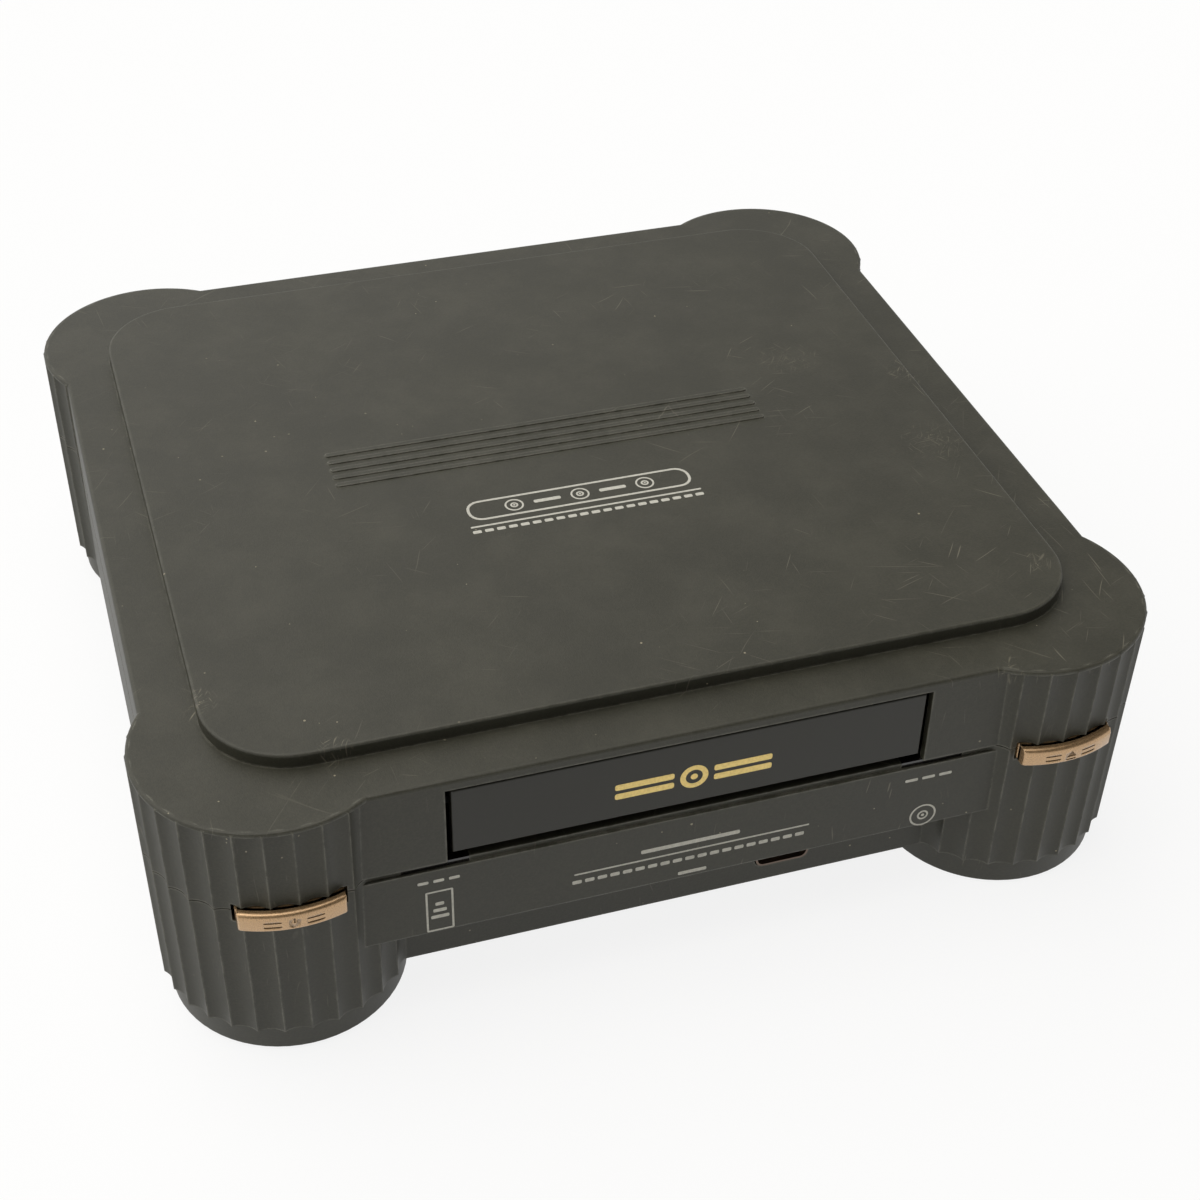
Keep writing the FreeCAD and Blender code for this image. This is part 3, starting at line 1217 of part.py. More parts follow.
def board_screws():
    profile = [(0, 15), (POST_HOLE_R, 15), (POST_HOLE_R, BOARD_TOP_Z), (2.7, BOARD_TOP_Z), (2.7, 24.8),
               (1.9, 25.5), (0, 25.5)]
    return group(turned(profile, x, y) for x, y in MAIN_POSTS + POWER_POSTS)


def chip(x, y, half_x, half_y, height):
    return block(x - half_x, x + half_x, y - half_y, y + half_y, BOARD_TOP_Z, BOARD_TOP_Z + height)


def chips():
    """The main processors, the memory and three smaller circuits, as moulded packages."""
    large = [chip(80, -50, 11, 11, 3.4), chip(80, 48, 11, 11, 3.4)]
    memory = [chip(12 + 14 * index, -112, 5.0, 3.6, 3.0) for index in range(3)]
    small = [chip(74, 96, 9, 6, 3.0), chip(-48, 84, 8, 12, 3.0), chip(0, 84, 12, 8, 3.0)]
    return group(large + memory + small)


def board_shield():
    """A folded tin cover over the middle of the main board, with a row of slots."""
    x0, x1, y0, y1 = -56, 58, -102, 60
    outer = block(x0, x1, y0, y1, BOARD_TOP_Z, SHIELD_TOP_Z)
    inner = block(x0 + SHEET_T, x1 - SHEET_T, y0 + SHEET_T, y1 - SHEET_T,
                  BOARD_TOP_Z - 1, SHIELD_TOP_Z - SHEET_T)
    slots = [block(x - 1.2, x + 1.2, -96, -72, SHIELD_TOP_Z - 2, SHIELD_TOP_Z + 1)
             for x in range(-45, 50, 10)]
    return minus(outer, [inner] + slots)


def servo_board():
    """The drive's own board on four spacers over the shield, with two chips."""
    top = SERVO_BOARD_Z + BOARD_T
    plate = block(-50, 50, -60, 28, SERVO_BOARD_Z, top)
    spacers = [column(2.6, SHIELD_TOP_Z, SERVO_BOARD_Z + 0.2, x, y) for x in (-44, 44) for y in (-54, 22)]
    packages = [block(-18, -4, -6, 8, top - 0.1, top + 2.2), block(6, 16, -44, -36, top - 0.1, top + 2.2)]
    return joined([plate] + spacers + packages)


def ribbon_cable():
    """A flat cable from the servo board down to the main board, in straight folds."""
    top = SERVO_BOARD_Z + BOARD_T
    thickness = 0.8
    outline = [(46, top), (84, top), (92, top - 8), (92, BOARD_TOP_Z), (92 + thickness, BOARD_TOP_Z),
               (92 + thickness, top - 7.65), (84.35, top + thickness), (46, top + thickness)]
    points = [V(x, -30, z) for x, z in outline]
    return Part.Face(Part.makePolygon(points + points[:1])).extrude(V(0, 20, 0))


def transformer():
    """A laminated core with a wound bobbin through its two windows."""
    core = rounded_block(-132, -96, 26, 74, BOARD_TOP_Z, 58, 1.5)
    windows = [block(-140, -90, y, y + 11, 30, 52) for y in (32, 57)]
    winding = block(-137, -91, 33, 67, 30.4, 51.6).cut(block(-132, -96, 43, 57, 25, 60))
    return joined([minus(core, windows), winding])


def capacitors():
    """The tall round cans on the power board: each with its place, radius and height."""
    shapes = []
    edge = 0.8
    for x, y, radius, height in ((-84, 20, 7.5, 28), (-84, 40, 6, 22), (-84, 56, 6, 22), (-120, 8, 5, 16)):
        top = BOARD_TOP_Z + height
        profile = [(0, BOARD_TOP_Z), (radius, BOARD_TOP_Z), (radius, top - edge),
                   (radius - edge, top), (0, top)]
        shapes.append(turned(profile, x, y))
    return group(shapes)


def heat_sink():
    """A finned bar of aluminium on the power board."""
    pitch = 6.2
    base = block(-130, -90, 82, 85, BOARD_TOP_Z, 50)
    starts = [-130 + pitch * index for index in range(7)]
    fins = [block(x, x + 2.8, 76, 82.5, BOARD_TOP_Z + 4, 50) for x in starts]
    return joined([base] + fins)


# Rear panel and connectors

def panel_slot(x0, x1, z0, z1):
    return block(x0, x1, PANEL_Y - 1, PANEL_Y + PANEL_T + 1, z0, z1)


def panel_hole(radius, x, z):
    return rod_y(radius, PANEL_Y - 1, PANEL_Y + PANEL_T + 1, x, z)


def rear_panel():
    """The plate that fills the opening in the back wall, cut out for each connector."""
    plate = block(-PANEL_HALF_X, PANEL_HALF_X, PANEL_Y, PANEL_Y + PANEL_T, PANEL_LOW_Z, PANEL_TOP_Z)
    cutters = [panel_hole(JACK_NECK_R + 0.4, x, JACK_Z) for x in JACK_XS]
    cutters += [panel_hole(7.0, VIDEO_X, JACK_Z), panel_hole(5.2, AERIAL_X, JACK_Z)]
    cutters.append(panel_slot(CHANNEL_SLOT_X - CHANNEL_SLOT_HALF_X, CHANNEL_SLOT_X + CHANNEL_SLOT_HALF_X,
                              JACK_Z - 2, JACK_Z + 2))
    cutters.append(panel_slot(INLET_X - 10.2, INLET_X + 10.2, INLET_Z - 7.2, INLET_Z + 7.2))
    cutters.append(panel_slot(COVER_X - COVER_HALF_X, COVER_X + COVER_HALF_X, COVER_LOW_Z, COVER_TOP_Z))
    for row in range(3):
        low = 46 + 2.6 * row
        cutters += [panel_slot(x - 5, x + 5, low, low + 1.2) for x in range(-52, 50, 14)]
    return minus(plate, cutters)


def expansion_cover():
    """The snap-in cover of the expansion port, with two clips behind the panel."""
    top = COVER_TOP_Z - COVER_GAP
    half = COVER_HALF_X - COVER_GAP
    shapes = [block(COVER_X - half, COVER_X + half, PANEL_Y, PANEL_Y + PANEL_T, COVER_LOW_Z, top)]
    for x in (COVER_X - 8, COVER_X + 8):
        shapes.append(block(x - 3, x + 3, PANEL_Y - 1.4, PANEL_Y, COVER_TOP_Z - 4, COVER_TOP_Z + 1.5))
    return joined(shapes)


def expansion_socket():
    """The slotted edge connector behind the expansion cover."""
    body = block(COVER_X - 11, COVER_X + 11, 126, 138.4, BOARD_TOP_Z, 34)
    return body.cut(block(COVER_X - 9, COVER_X + 9, 130, 139, 27.6, 30))


def jack_block():
    """The moulded block behind the three phono jacks."""
    body = block(JACK_XS[0] - 7, JACK_XS[-1] + 7, 122, JACK_BLOCK_Y, BOARD_TOP_Z, 42)
    return minus(body, [block(x - 0.6, x + 0.6, 120, 131, BOARD_TOP_Z - 1, 43) for x in (23.5, 38.5)])


def jack_sleeve(x):
    neck = rod_y(JACK_NECK_R, JACK_BLOCK_Y, JACK_END_Y - JACK_SLEEVE_LENGTH, x, JACK_Z)
    sleeve = rod_y(JACK_SLEEVE_R, JACK_END_Y - JACK_SLEEVE_LENGTH, JACK_END_Y, x, JACK_Z)
    return joined([neck, sleeve]).cut(rod_y(JACK_BORE_R, JACK_BLOCK_Y + 3, JACK_END_Y + 1, x, JACK_Z))


def jack_sleeves():
    """The metal sleeves of the three phono jacks."""
    return group(jack_sleeve(x) for x in JACK_XS)


def video_socket():
    """A round four-hole video socket: a collar round a moulded insert."""
    body = block(VIDEO_X - 7, VIDEO_X + 7, 126, PANEL_Y, BOARD_TOP_Z, 42)
    nose = rod_y(6.6, PANEL_Y - 1, 143.4, VIDEO_X, JACK_Z)
    ring_gap = rod_y(4.75, 138, 144, VIDEO_X, JACK_Z).cut(rod_y(3.4, 138, 144, VIDEO_X, JACK_Z))
    holes = [rod_y(0.55, 136, 144, VIDEO_X + x, JACK_Z + z) for x in (-1.5, 1.5) for z in (-1.1, 1.1)]
    return minus(joined([body, nose]), [ring_gap] + holes)


def modulator():
    """A tin can with its aerial jack and a slot for the channel switch."""
    can = block(MODULATOR_X - 17, MODULATOR_X + 17, 104, PANEL_Y, BOARD_TOP_Z, 44)
    jack = rod_y(4.8, PANEL_Y - 1, 149.0, AERIAL_X, JACK_Z)
    bore = rod_y(3.4, 141.5, 150, AERIAL_X, JACK_Z)
    slot = block(CHANNEL_SLOT_X - CHANNEL_SLOT_HALF_X, CHANNEL_SLOT_X + CHANNEL_SLOT_HALF_X,
                 134, PANEL_Y + 1, JACK_Z - 2, JACK_Z + 2)
    return minus(joined([can, jack]), [bore, slot])


def channel_knob():
    """The small sliding knob of the channel switch, at its left end."""
    x = CHANNEL_SLOT_X - CHANNEL_SLOT_HALF_X + 2.7
    foot = block(x - 2.4, x + 2.4, 134, 139, JACK_Z - 1.7, JACK_Z + 1.7)
    grip = block(x - 1.2, x + 1.2, 138, 142.0, JACK_Z - 1.2, JACK_Z + 1.2)
    return joined([foot, grip])


def inlet_hollow(y0, y1):
    """The figure-of-eight shape of the mains plug."""
    lobes = [rod_y(INLET_LOBE_R, y0, y1, INLET_X + side * INLET_PIN_X, INLET_Z) for side in (-1, 1)]
    half_height = INLET_LOBE_R - 1
    middle = block(INLET_X - INLET_PIN_X, INLET_X + INLET_PIN_X, y0, y1,
                   INLET_Z - half_height, INLET_Z + half_height)
    return joined(lobes + [middle])


def ac_inlet():
    """The two-pin mains inlet, with its mouth level with the rear panel."""
    mouth_y = PANEL_Y + PANEL_T
    floor_y = mouth_y - INLET_DEPTH
    body = block(INLET_X - 10, INLET_X + 10, mouth_y - 17, mouth_y, INLET_Z - 7, INLET_Z + 7)
    foot = block(INLET_X - 10, INLET_X + 10, mouth_y - 17, mouth_y - 5, FLOOR_Z, INLET_Z - 6)
    body = joined([body, foot]).cut(inlet_hollow(floor_y, mouth_y + 1))
    pins = [rod_y(INLET_PIN_R, floor_y - 1, floor_y + INLET_PIN, INLET_X + side * INLET_PIN_X, INLET_Z)
            for side in (-1, 1)]
    return joined([body] + pins)


MAKERS = [
    top_case, bottom_case, rubber_feet, case_screws, indicator_lenses,
    power_button, eject_button, power_rod, power_spring, eject_spring, power_switch, eject_switch,
    front_board, controller_socket, controller_shell, controller_pins,
    disc_tray, tray_door, drive_chassis, drive_screws, tray_pinion, pulley_gear, motor_pulley,
    loading_motor, loading_belt, clamp_bridge, clamper,
    lift_frame, damper_rubbers, traverse_plate, guide_rods, spindle_motor, spindle_shaft, turntable,
    pickup_sled, lens_holder, objective_lens, sled_gear, sled_motor, sled_motor_pinion, cam_slider,
    main_board, power_board, board_screws, chips, board_shield, servo_board, ribbon_cable, transformer,
    capacitors, heat_sink,
    rear_panel, expansion_cover, expansion_socket, jack_block, jack_sleeves, video_socket, modulator,
    channel_knob, ac_inlet,
]

os.makedirs("parts", exist_ok=True)
for make in MAKERS:
    shape = make()
    shape.exportStep(os.path.join("parts", make.__name__ + ".step"))
    print(make.__name__, "solids", len(shape.Solids), "volume", round(shape.Volume), "valid", shape.isValid())
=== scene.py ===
import json
import math

import bpy
from bpy.props import FloatProperty, FloatVectorProperty, PointerProperty
from mathutils import Matrix, Vector


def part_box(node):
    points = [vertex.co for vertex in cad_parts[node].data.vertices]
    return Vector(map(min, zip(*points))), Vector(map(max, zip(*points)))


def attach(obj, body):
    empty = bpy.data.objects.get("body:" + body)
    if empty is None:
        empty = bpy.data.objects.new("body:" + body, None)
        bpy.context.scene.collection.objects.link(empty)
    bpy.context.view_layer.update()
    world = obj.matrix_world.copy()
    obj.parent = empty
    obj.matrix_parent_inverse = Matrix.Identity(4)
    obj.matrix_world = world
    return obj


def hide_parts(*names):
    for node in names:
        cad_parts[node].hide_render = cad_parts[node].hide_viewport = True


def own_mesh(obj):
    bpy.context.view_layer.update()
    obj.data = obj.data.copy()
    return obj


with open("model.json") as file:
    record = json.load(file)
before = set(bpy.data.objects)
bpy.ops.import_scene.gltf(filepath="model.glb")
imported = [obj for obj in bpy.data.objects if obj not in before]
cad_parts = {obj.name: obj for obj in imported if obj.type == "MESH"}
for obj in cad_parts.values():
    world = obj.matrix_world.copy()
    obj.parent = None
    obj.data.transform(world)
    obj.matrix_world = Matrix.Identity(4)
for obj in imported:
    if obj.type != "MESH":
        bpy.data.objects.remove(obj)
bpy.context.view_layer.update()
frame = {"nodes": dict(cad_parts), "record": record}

# Finishes and small trim of a disc console with a sliding tray.
# Metres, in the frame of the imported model: X to the right seen from the front, the front faces -Y.

bl_info = {
    "name": "Disc console finishes",
    "version": (1, 0, 0),
    "blender": (4, 5, 0),
    "location": "View3D > Sidebar > Console",
    "description": "Finishes, printed marks and studio of a disc console with a sliding tray",
    "category": "Object",
}

MM = 0.001


def srgb(red, green, blue):
    """A colour as read off a screen, 0 to 255, turned into the linear colour that shaders take."""
    linear = []
    for level in (red, green, blue):
        share = level / 255
        linear.append(share / 12.92 if share <= 0.04045 else ((share + 0.055) / 1.055) ** 2.4)
    return (*linear, 1.0)


def scaled(colour, factor):
    return (colour[0] * factor, colour[1] * factor, colour[2] * factor, 1.0)


def middle_of(node):
    low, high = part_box(node)
    return (low + high) / 2


# Surfaces that the marks lie on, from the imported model
DOOR_FRONT_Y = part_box("tray_door")[0].y
CASE_FRONT_Y = DOOR_FRONT_Y - 0.5 * MM
CHIN_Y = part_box("controller_socket")[0].y + 0.4 * MM
PANEL_BACK_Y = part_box("rear_panel")[1].y
PLATEAU_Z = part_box("top_case")[1].z - 0.4 * MM

# Middles of the marks
DOOR_MARK_PLACE = (0.0, DOOR_FRONT_Y, 73.6 * MM)
STRIP_MARKS_PLACE = (0.0, CASE_FRONT_Y, 41.6 * MM)
LEFT_LENS_PLACE = (-76.4 * MM, CASE_FRONT_Y, 41.9 * MM)
RIGHT_LENS_PLACE = (76.2 * MM, CASE_FRONT_Y, 37.4 * MM)
CHIN_MARK_PLACE = (64.2 * MM, CHIN_Y, 15.6 * MM)
TOP_MARKS_PLACE = (0.4 * MM, -28.9 * MM, PLATEAU_Z)

# Corner pillars and their rims
PILLAR_X = 116.8 * MM
PILLAR_Y = 110.2 * MM
RIM_OUTER_R = 38.9 * MM
RIM_WIDTH = 2.6 * MM
RIM_HEIGHT = 2.5 * MM
RIM_ROUND = 0.9 * MM
RIM_UNDERCUT = 1.3 * MM
RIM_TOP_Z = 91.36 * MM
RIM_STEPS = 120
RIM_SMOOTH = math.radians(30)

# Buttons, curved about their pillars
BUTTON_X = 119.0 * MM
BUTTON_HALF_X = 15.15 * MM
BUTTON_FACE_R = 41.4 * MM
BUTTON_SPLIT_R = 38.9 * MM
BUTTON_LOW_Z = 56.4 * MM
BUTTON_TOP_Z = 62.4 * MM
BUTTON_TOP_ROUND = 1.9 * MM
BUTTON_FOOT_ROUND = 0.7 * MM
BUTTON_SWEEP = math.radians(66)
BUTTON_STEPS = 60
BUTTON_SMOOTH = math.radians(32)
BUTTON_MARK_Z = 58.9 * MM
SPRING_SMOOTH = math.radians(40)

# How near two corners have to be to count as one
MERGE = 0.001 * MM


# Settings that a user would change

def colour_setting(name, description, default):
    return FloatVectorProperty(name=name, description=description, subtype="COLOR", size=4,
                               min=0.0, max=1.0, default=default)


def length_setting(name, description, low, high, default):
    return FloatProperty(name=name, description=description, unit="LENGTH", min=low, max=high,
                         default=default)


class ConsoleFinishSettings(bpy.types.PropertyGroup):
    """Colours and surface of the case."""

    case_colour: colour_setting("Case", "Colour of the moulded case", srgb(53, 52, 41))
    door_colour: colour_setting("Door", "Colour of the tray's door", srgb(37, 36, 28))
    bronze_colour: colour_setting("Buttons", "Colour of the bronze paint on the buttons",
                                  srgb(186, 152, 112))
    print_colour: colour_setting("Grey print", "Colour of the grey printed marks", srgb(204, 202, 192))
    gold_colour: colour_setting("Gold print", "Colour of the gold foil mark on the door",
                                srgb(250, 220, 136))
    grain_size: length_setting("Grain", "Size of one grain of the moulded texture",
                               0.0001, 0.005, 0.45 * MM)
    grain_depth: length_setting("Grain depth", "Depth of the moulded texture", 0.0, 0.001, 0.03 * MM)
    # Also sets how strong the painted highlight along the case's edges is.
    wear_and_edge_highlight: FloatProperty(name="Wear", description="How pale the rubbed edges and scratches are",
                        subtype="FACTOR", min=0.0, max=1.0, default=0.5)


class ConsoleMarkSettings(bpy.types.PropertyGroup):
    """Sizes of the printed and engraved marks."""

    thickness: length_setting("Print thickness", "How far a printed mark stands off its surface",
                              0.0, 0.001, 0.04 * MM)
    line_width: length_setting("Line width", "Width of the thin printed lines", 0.0001, 0.002, 0.6 * MM)
    symbol_size: length_setting("Symbol size", "Height of the symbols on the buttons",
                                0.001, 0.006, 3.1 * MM)
    engraving_depth: length_setting("Engraving depth", "How deep the buttons' symbols are cut",
                                    0.0001, 0.001, 0.3 * MM)


class ConsoleStageSettings(bpy.types.PropertyGroup):
    """Light of the studio."""

    sky_light: FloatProperty(name="Sky", description="Brightness of the pale room",
                             min=0.0, max=4.0, default=1.55)
    lamp_light: FloatProperty(name="Lamp", description="Strength of the soft overhead lamp",
                              min=0.0, max=20.0, default=1.0)
    floor_colour: colour_setting("Floor", "Colour of the floor", (0.96, 0.96, 0.955, 1.0))


# Short ways to build node trees

MIX_FACTOR = 0
MIX_FIRST = 6
MIX_SECOND = 7
MIX_RESULT = 2


class Tree:
    """The nodes of one material, shared effect or world, and the place that its textures are read at."""

    def __init__(self, nodes):
        self.nodes = nodes
        self.here = None
        self.surface = None
        self.output = None

    def feed(self, socket, value):
        if isinstance(value, bpy.types.NodeSocket):
            self.nodes.links.new(value, socket)
        else:
            socket.default_value = value

    def add(self, kind, inputs=None, **settings):
        made = self.nodes.nodes.new(kind)
        for name, value in settings.items():
            setattr(made, name, value)
        for socket, value in (inputs or {}).items():
            self.feed(made.inputs[socket], value)
        return made

    def look(self, **values):
        """Sets inputs of the material's shader, named with _ for a space."""
        for label, value in values.items():
            self.feed(self.surface.inputs[label.replace("_", " ")], value)

    def maths(self, operation, first, second=0.0):
        return self.add("ShaderNodeMath", {0: first, 1: second}, operation=operation).outputs[0]

    def vectors(self, operation, first, second):
        return self.add("ShaderNodeVectorMath", {0: first, 1: second}, operation=operation).outputs

    def times(self, product, *factors):
        for factor in factors:
            product = self.maths("MULTIPLY", product, factor)
        return product

    def weighted(self, first, share, second):
        """The given share of the first value and the rest of the second."""
        return self.maths("ADD", self.times(first, share), self.times(second, 1 - share))

    def noise(self, size, detail=2.0, roughness=0.5, place=None):
        """Cloudy noise whose blotches are about the given size."""
        return self.add("ShaderNodeTexNoise", {"Vector": place or self.here, "Scale": 1 / size,
                                               "Detail": detail, "Roughness": roughness}).outputs[0]

    def band(self, value, low, high, to_low=0.0, to_high=1.0):
        """A smooth step from to_low to to_high as the value goes from low to high."""
        return self.add("ShaderNodeMapRange", {"Value": value, "From Min": low, "From Max": high,
                                               "To Min": to_low, "To Max": to_high},
                        interpolation_type="SMOOTHSTEP").outputs[0]

    def spread(self, noise, low, high):
        """A value from low to high, over the range that most of a noise stays in."""
        return self.band(noise, 0.3, 0.7, low, high)

    def mix(self, factor, first, second):
        made = self.add("ShaderNodeMix", {MIX_FACTOR: factor, MIX_FIRST: first, MIX_SECOND: second},
                        data_type="RGBA")
        return made.outputs[MIX_RESULT]

    def varied(self, factor, colour, first, last):
        """A colour from first to last times as bright, as the factor goes from 0 to 1."""
        return self.mix(factor, scaled(colour, first), scaled(colour, last))

    def layered(self, colour, *layers):
        """A colour with others laid over it, each through its own mask."""
        for mask, over in layers:
            colour = self.mix(mask, colour, over)
        return colour

    def axes(self, vector):
        return self.add("ShaderNodeSeparateXYZ", {0: vector}).outputs

    def effect(self, name, **inputs):
        """One of the shared effects at this tree's place, with its own values."""
        inputs["Place"] = self.here
        return self.add("ShaderNodeGroup", inputs, node_tree=bpy.data.node_groups[name]).outputs

    def mask(self, name, **inputs):
        return self.effect(name, **inputs)["Mask"]

    def bump(self, height, distance=1.0):
        return self.add("ShaderNodeBump", {"Height": height, "Distance": distance,
                                           "Strength": 1.0}).outputs[0]

    def seen(self):
        """1 for what the camera sees itself, in a gloss or through glass, and 0 for what lights things."""
        rays = self.add("ShaderNodeLightPath").outputs
        seen = self.maths("MAXIMUM", rays["Is Camera Ray"], rays["Is Glossy Ray"])
        return self.maths("MAXIMUM", seen, rays["Is Transmission Ray"])


def effect_tree(name, inputs, outputs):
    """An empty shared effect over a place: returns its tree, its inputs and its outputs."""
    group = bpy.data.node_groups.new(name, "ShaderNodeTree")
    for label in ("Place", *inputs):
        kind = "NodeSocketVector" if label in ("Place", "Middle") else "NodeSocketFloat"
        group.interface.new_socket(name=label, in_out="INPUT", socket_type=kind)
    for label in outputs:
        group.interface.new_socket(name=label, in_out="OUTPUT", socket_type="NodeSocketFloat")
    tree = Tree(group)
    given = tree.add("NodeGroupInput").outputs
    tree.here = given["Place"]
    return tree, given, tree.add("NodeGroupOutput").inputs


# Shared effects

def grain_effect():
    """The spark-eroded texture of moulded plastic: a height, and a slow change of tone."""
    tree, given, result = effect_tree("moulded_grain", ("Size", "Depth"), ("Height", "Tone"))
    fineness = tree.maths("DIVIDE", 1.0, given["Size"])
    fine = tree.add("ShaderNodeTexNoise", {"Vector": tree.here, "Scale": fineness, "Detail": 1.0})
    pits = tree.add("ShaderNodeTexVoronoi", {"Vector": tree.here, "Scale": fineness}, feature="SMOOTH_F1")
    rough = tree.maths("ADD", fine.outputs[0], pits.outputs["Distance"])
    slow = tree.noise(45 * MM, detail=5.0, roughness=0.6)
    close = tree.noise(2.2 * MM, detail=3.0, roughness=0.7)
    tree.feed(result["Height"], tree.times(rough, given["Depth"]))
    tree.feed(result["Tone"], tree.weighted(slow, 0.55, close))


def bent_place(tree, size, reach):
    """The place shifted sideways by slow noise, so that lines drawn with it run in gentle arcs."""
    sway = tree.add("ShaderNodeTexNoise", {"Vector": tree.here, "Scale": 1 / size, "Detail": 0.0})
    shift = tree.vectors("MULTIPLY", sway.outputs["Color"], (reach, reach, 0.0))["Vector"]
    return tree.vectors("ADD", tree.here, shift)["Vector"]


def streaks(tree, place, turns, length, width, low, high):
    """Thin broken lines in each of the directions given by the turns."""
    lines = None
    for turn in turns:
        along = tree.add("ShaderNodeMapping", {"Vector": place, "Rotation": (0.0, 0.0, turn),
                                               "Scale": (length, width, 20 * width)}, vector_type="TEXTURE")
        streak = tree.band(tree.noise(1.0, detail=1.0, place=along.outputs[0]), low, high)
        lines = streak if lines is None else tree.maths("MAXIMUM", lines, streak)
    return lines


def scratch_effect():
    """Thin, gently curved scratches that gather in patches, more of them to the right."""
    tree, given, result = effect_tree("scratches", ("Amount",), ("Mask",))
    bent = bent_place(tree, 50 * MM, 14 * MM)
    lines = streaks(tree, bent, (0.5, 1.0, 1.7, 2.4, 2.9), 24 * MM, 0.7 * MM, 0.73, 0.79)
    patches = tree.band(tree.noise(38 * MM), 0.46, 0.62)
    side = tree.band(tree.axes(tree.here)[0], -90 * MM, 110 * MM, 0.45, 1.0)
    tree.feed(result["Mask"], tree.times(lines, patches, side, given["Amount"]))


def scuff_effect():
    """One rubbed place about a point: short curved streaks and chips that fade outwards."""
    tree, given, result = effect_tree("scuff", ("Middle", "Reach", "Amount"), ("Mask",))
    away = tree.vectors("DISTANCE", tree.here, given["Middle"])["Value"]
    near = tree.band(tree.maths("DIVIDE", away, given["Reach"]), 1.0, 0.1)
    bent = bent_place(tree, 12 * MM, 5 * MM)
    rubs = streaks(tree, bent, (0.4, 1.1, 2.0), 7 * MM, 0.6 * MM, 0.62, 0.76)
    chips = tree.noise(0.9 * MM, detail=3.0, roughness=0.7)
    chipped = tree.band(tree.maths("ADD", chips, tree.times(near, 0.12)), 0.73, 0.80)
    worn = tree.maths("MAXIMUM", tree.times(rubs, 0.6), chipped)
    tree.feed(result["Mask"], tree.times(worn, tree.band(near, 0.0, 0.35), given["Amount"]))


def speck_effect():
    """Small pale specks of dust, spaced unevenly."""
    tree, given, result = effect_tree("specks", ("Spacing", "Amount"), ("Mask",))
    closeness = tree.maths("DIVIDE", 1.0, given["Spacing"])
    cells = tree.add("ShaderNodeTexVoronoi", {"Vector": tree.here, "Scale": closeness})
    size = tree.band(tree.axes(cells.outputs["Color"])[0], 0.68, 1.0, 0.0, 0.085)
    dot = tree.maths("LESS_THAN", cells.outputs["Distance"], size)
    patches = tree.band(tree.noise(60 * MM, detail=3.0), 0.38, 0.58)
    tree.feed(result["Mask"], tree.times(dot, patches, given["Amount"]))


def edge_effect():
    """Pale edges, rubbed and, on the case, a painted highlight: found where a rounded normal leaves the true
    one, broken up by noise.
    """
    tree, given, result = effect_tree("edge_wear_and_highlight", ("Width", "Amount"), ("Mask",))
    rounded = tree.add("ShaderNodeBevel", {"Radius": given["Width"]}, samples=4).outputs[0]
    true = tree.add("ShaderNodeNewGeometry").outputs["Normal"]
    edge = tree.band(tree.vectors("DOT_PRODUCT", rounded, true)["Value"], 0.998, 0.92)
    rubbed = tree.band(tree.noise(5 * MM, detail=4.0, roughness=0.65), 0.34, 0.60, 0.25, 1.0)
    tree.feed(result["Mask"], tree.times(edge, rubbed, given["Amount"]))


def dust_effect():
    """A thin film of dust on what faces up."""
    tree, given, result = effect_tree("dust", ("Amount",), ("Mask",))
    upward = tree.band(tree.axes(tree.add("ShaderNodeNewGeometry").outputs["Normal"])[2], 0.7, 1.0)
    film = tree.band(tree.noise(22 * MM, detail=6.0, roughness=0.7), 0.35, 0.75)
    tree.feed(result["Mask"], tree.times(upward, film, given["Amount"]))


def brushed_effect():
    """Fine lines drawn along X in rolled or turned metal, and faint stains."""
    tree, given, result = effect_tree("brushed", ("Depth",), ("Height", "Tone"))
    drawn = tree.add("ShaderNodeMapping", {"Vector": tree.here, "Scale": (60.0, 5200.0, 5200.0)})
    lines = tree.noise(1.0, place=drawn.outputs[0])
    stains = tree.noise(12 * MM, detail=4.0, roughness=0.6)
    tree.feed(result["Height"], tree.times(lines, given["Depth"]))
    tree.feed(result["Tone"], tree.weighted(lines, 0.5, stains))


EFFECTS = (grain_effect, scratch_effect, scuff_effect, speck_effect, edge_effect, dust_effect,
           brushed_effect)


# Materials

def shader(name):
    """The tree of a new material with one Principled shader. A packed material of the name steps aside."""
    packed = bpy.data.materials.get(name)
    if packed:
        packed.name = "packed_" + name
    material = bpy.data.materials.new(name)
    material.use_nodes = True
    material.node_tree.nodes.clear()
    tree = Tree(material.node_tree)
    tree.surface = tree.add("ShaderNodeBsdfPrincipled")
    tree.output = tree.add("ShaderNodeOutputMaterial", {"Surface": tree.surface.outputs[0]})
    tree.here = tree.add("ShaderNodeTexCoord").outputs["Object"]
    return tree


# Rubbed places on the case: the middle of each, how far it reaches and how strong it is
SCUFFS = (
    ((0.133, 0.011, 0.096), 9 * MM, 0.7),
    ((0.124, -0.033, 0.096), 15 * MM, 0.45),
    ((0.096, 0.030, 0.096), 14 * MM, 0.35),
    ((0.126, -0.104, 0.096), 7 * MM, 0.6),
    ((-0.133, -0.095, 0.095), 7 * MM, 1.0),
    ((-0.100, -0.1254, 0.095), 6 * MM, 0.9),
    ((0.098, -0.143, 0.091), 7 * MM, 0.6),
)


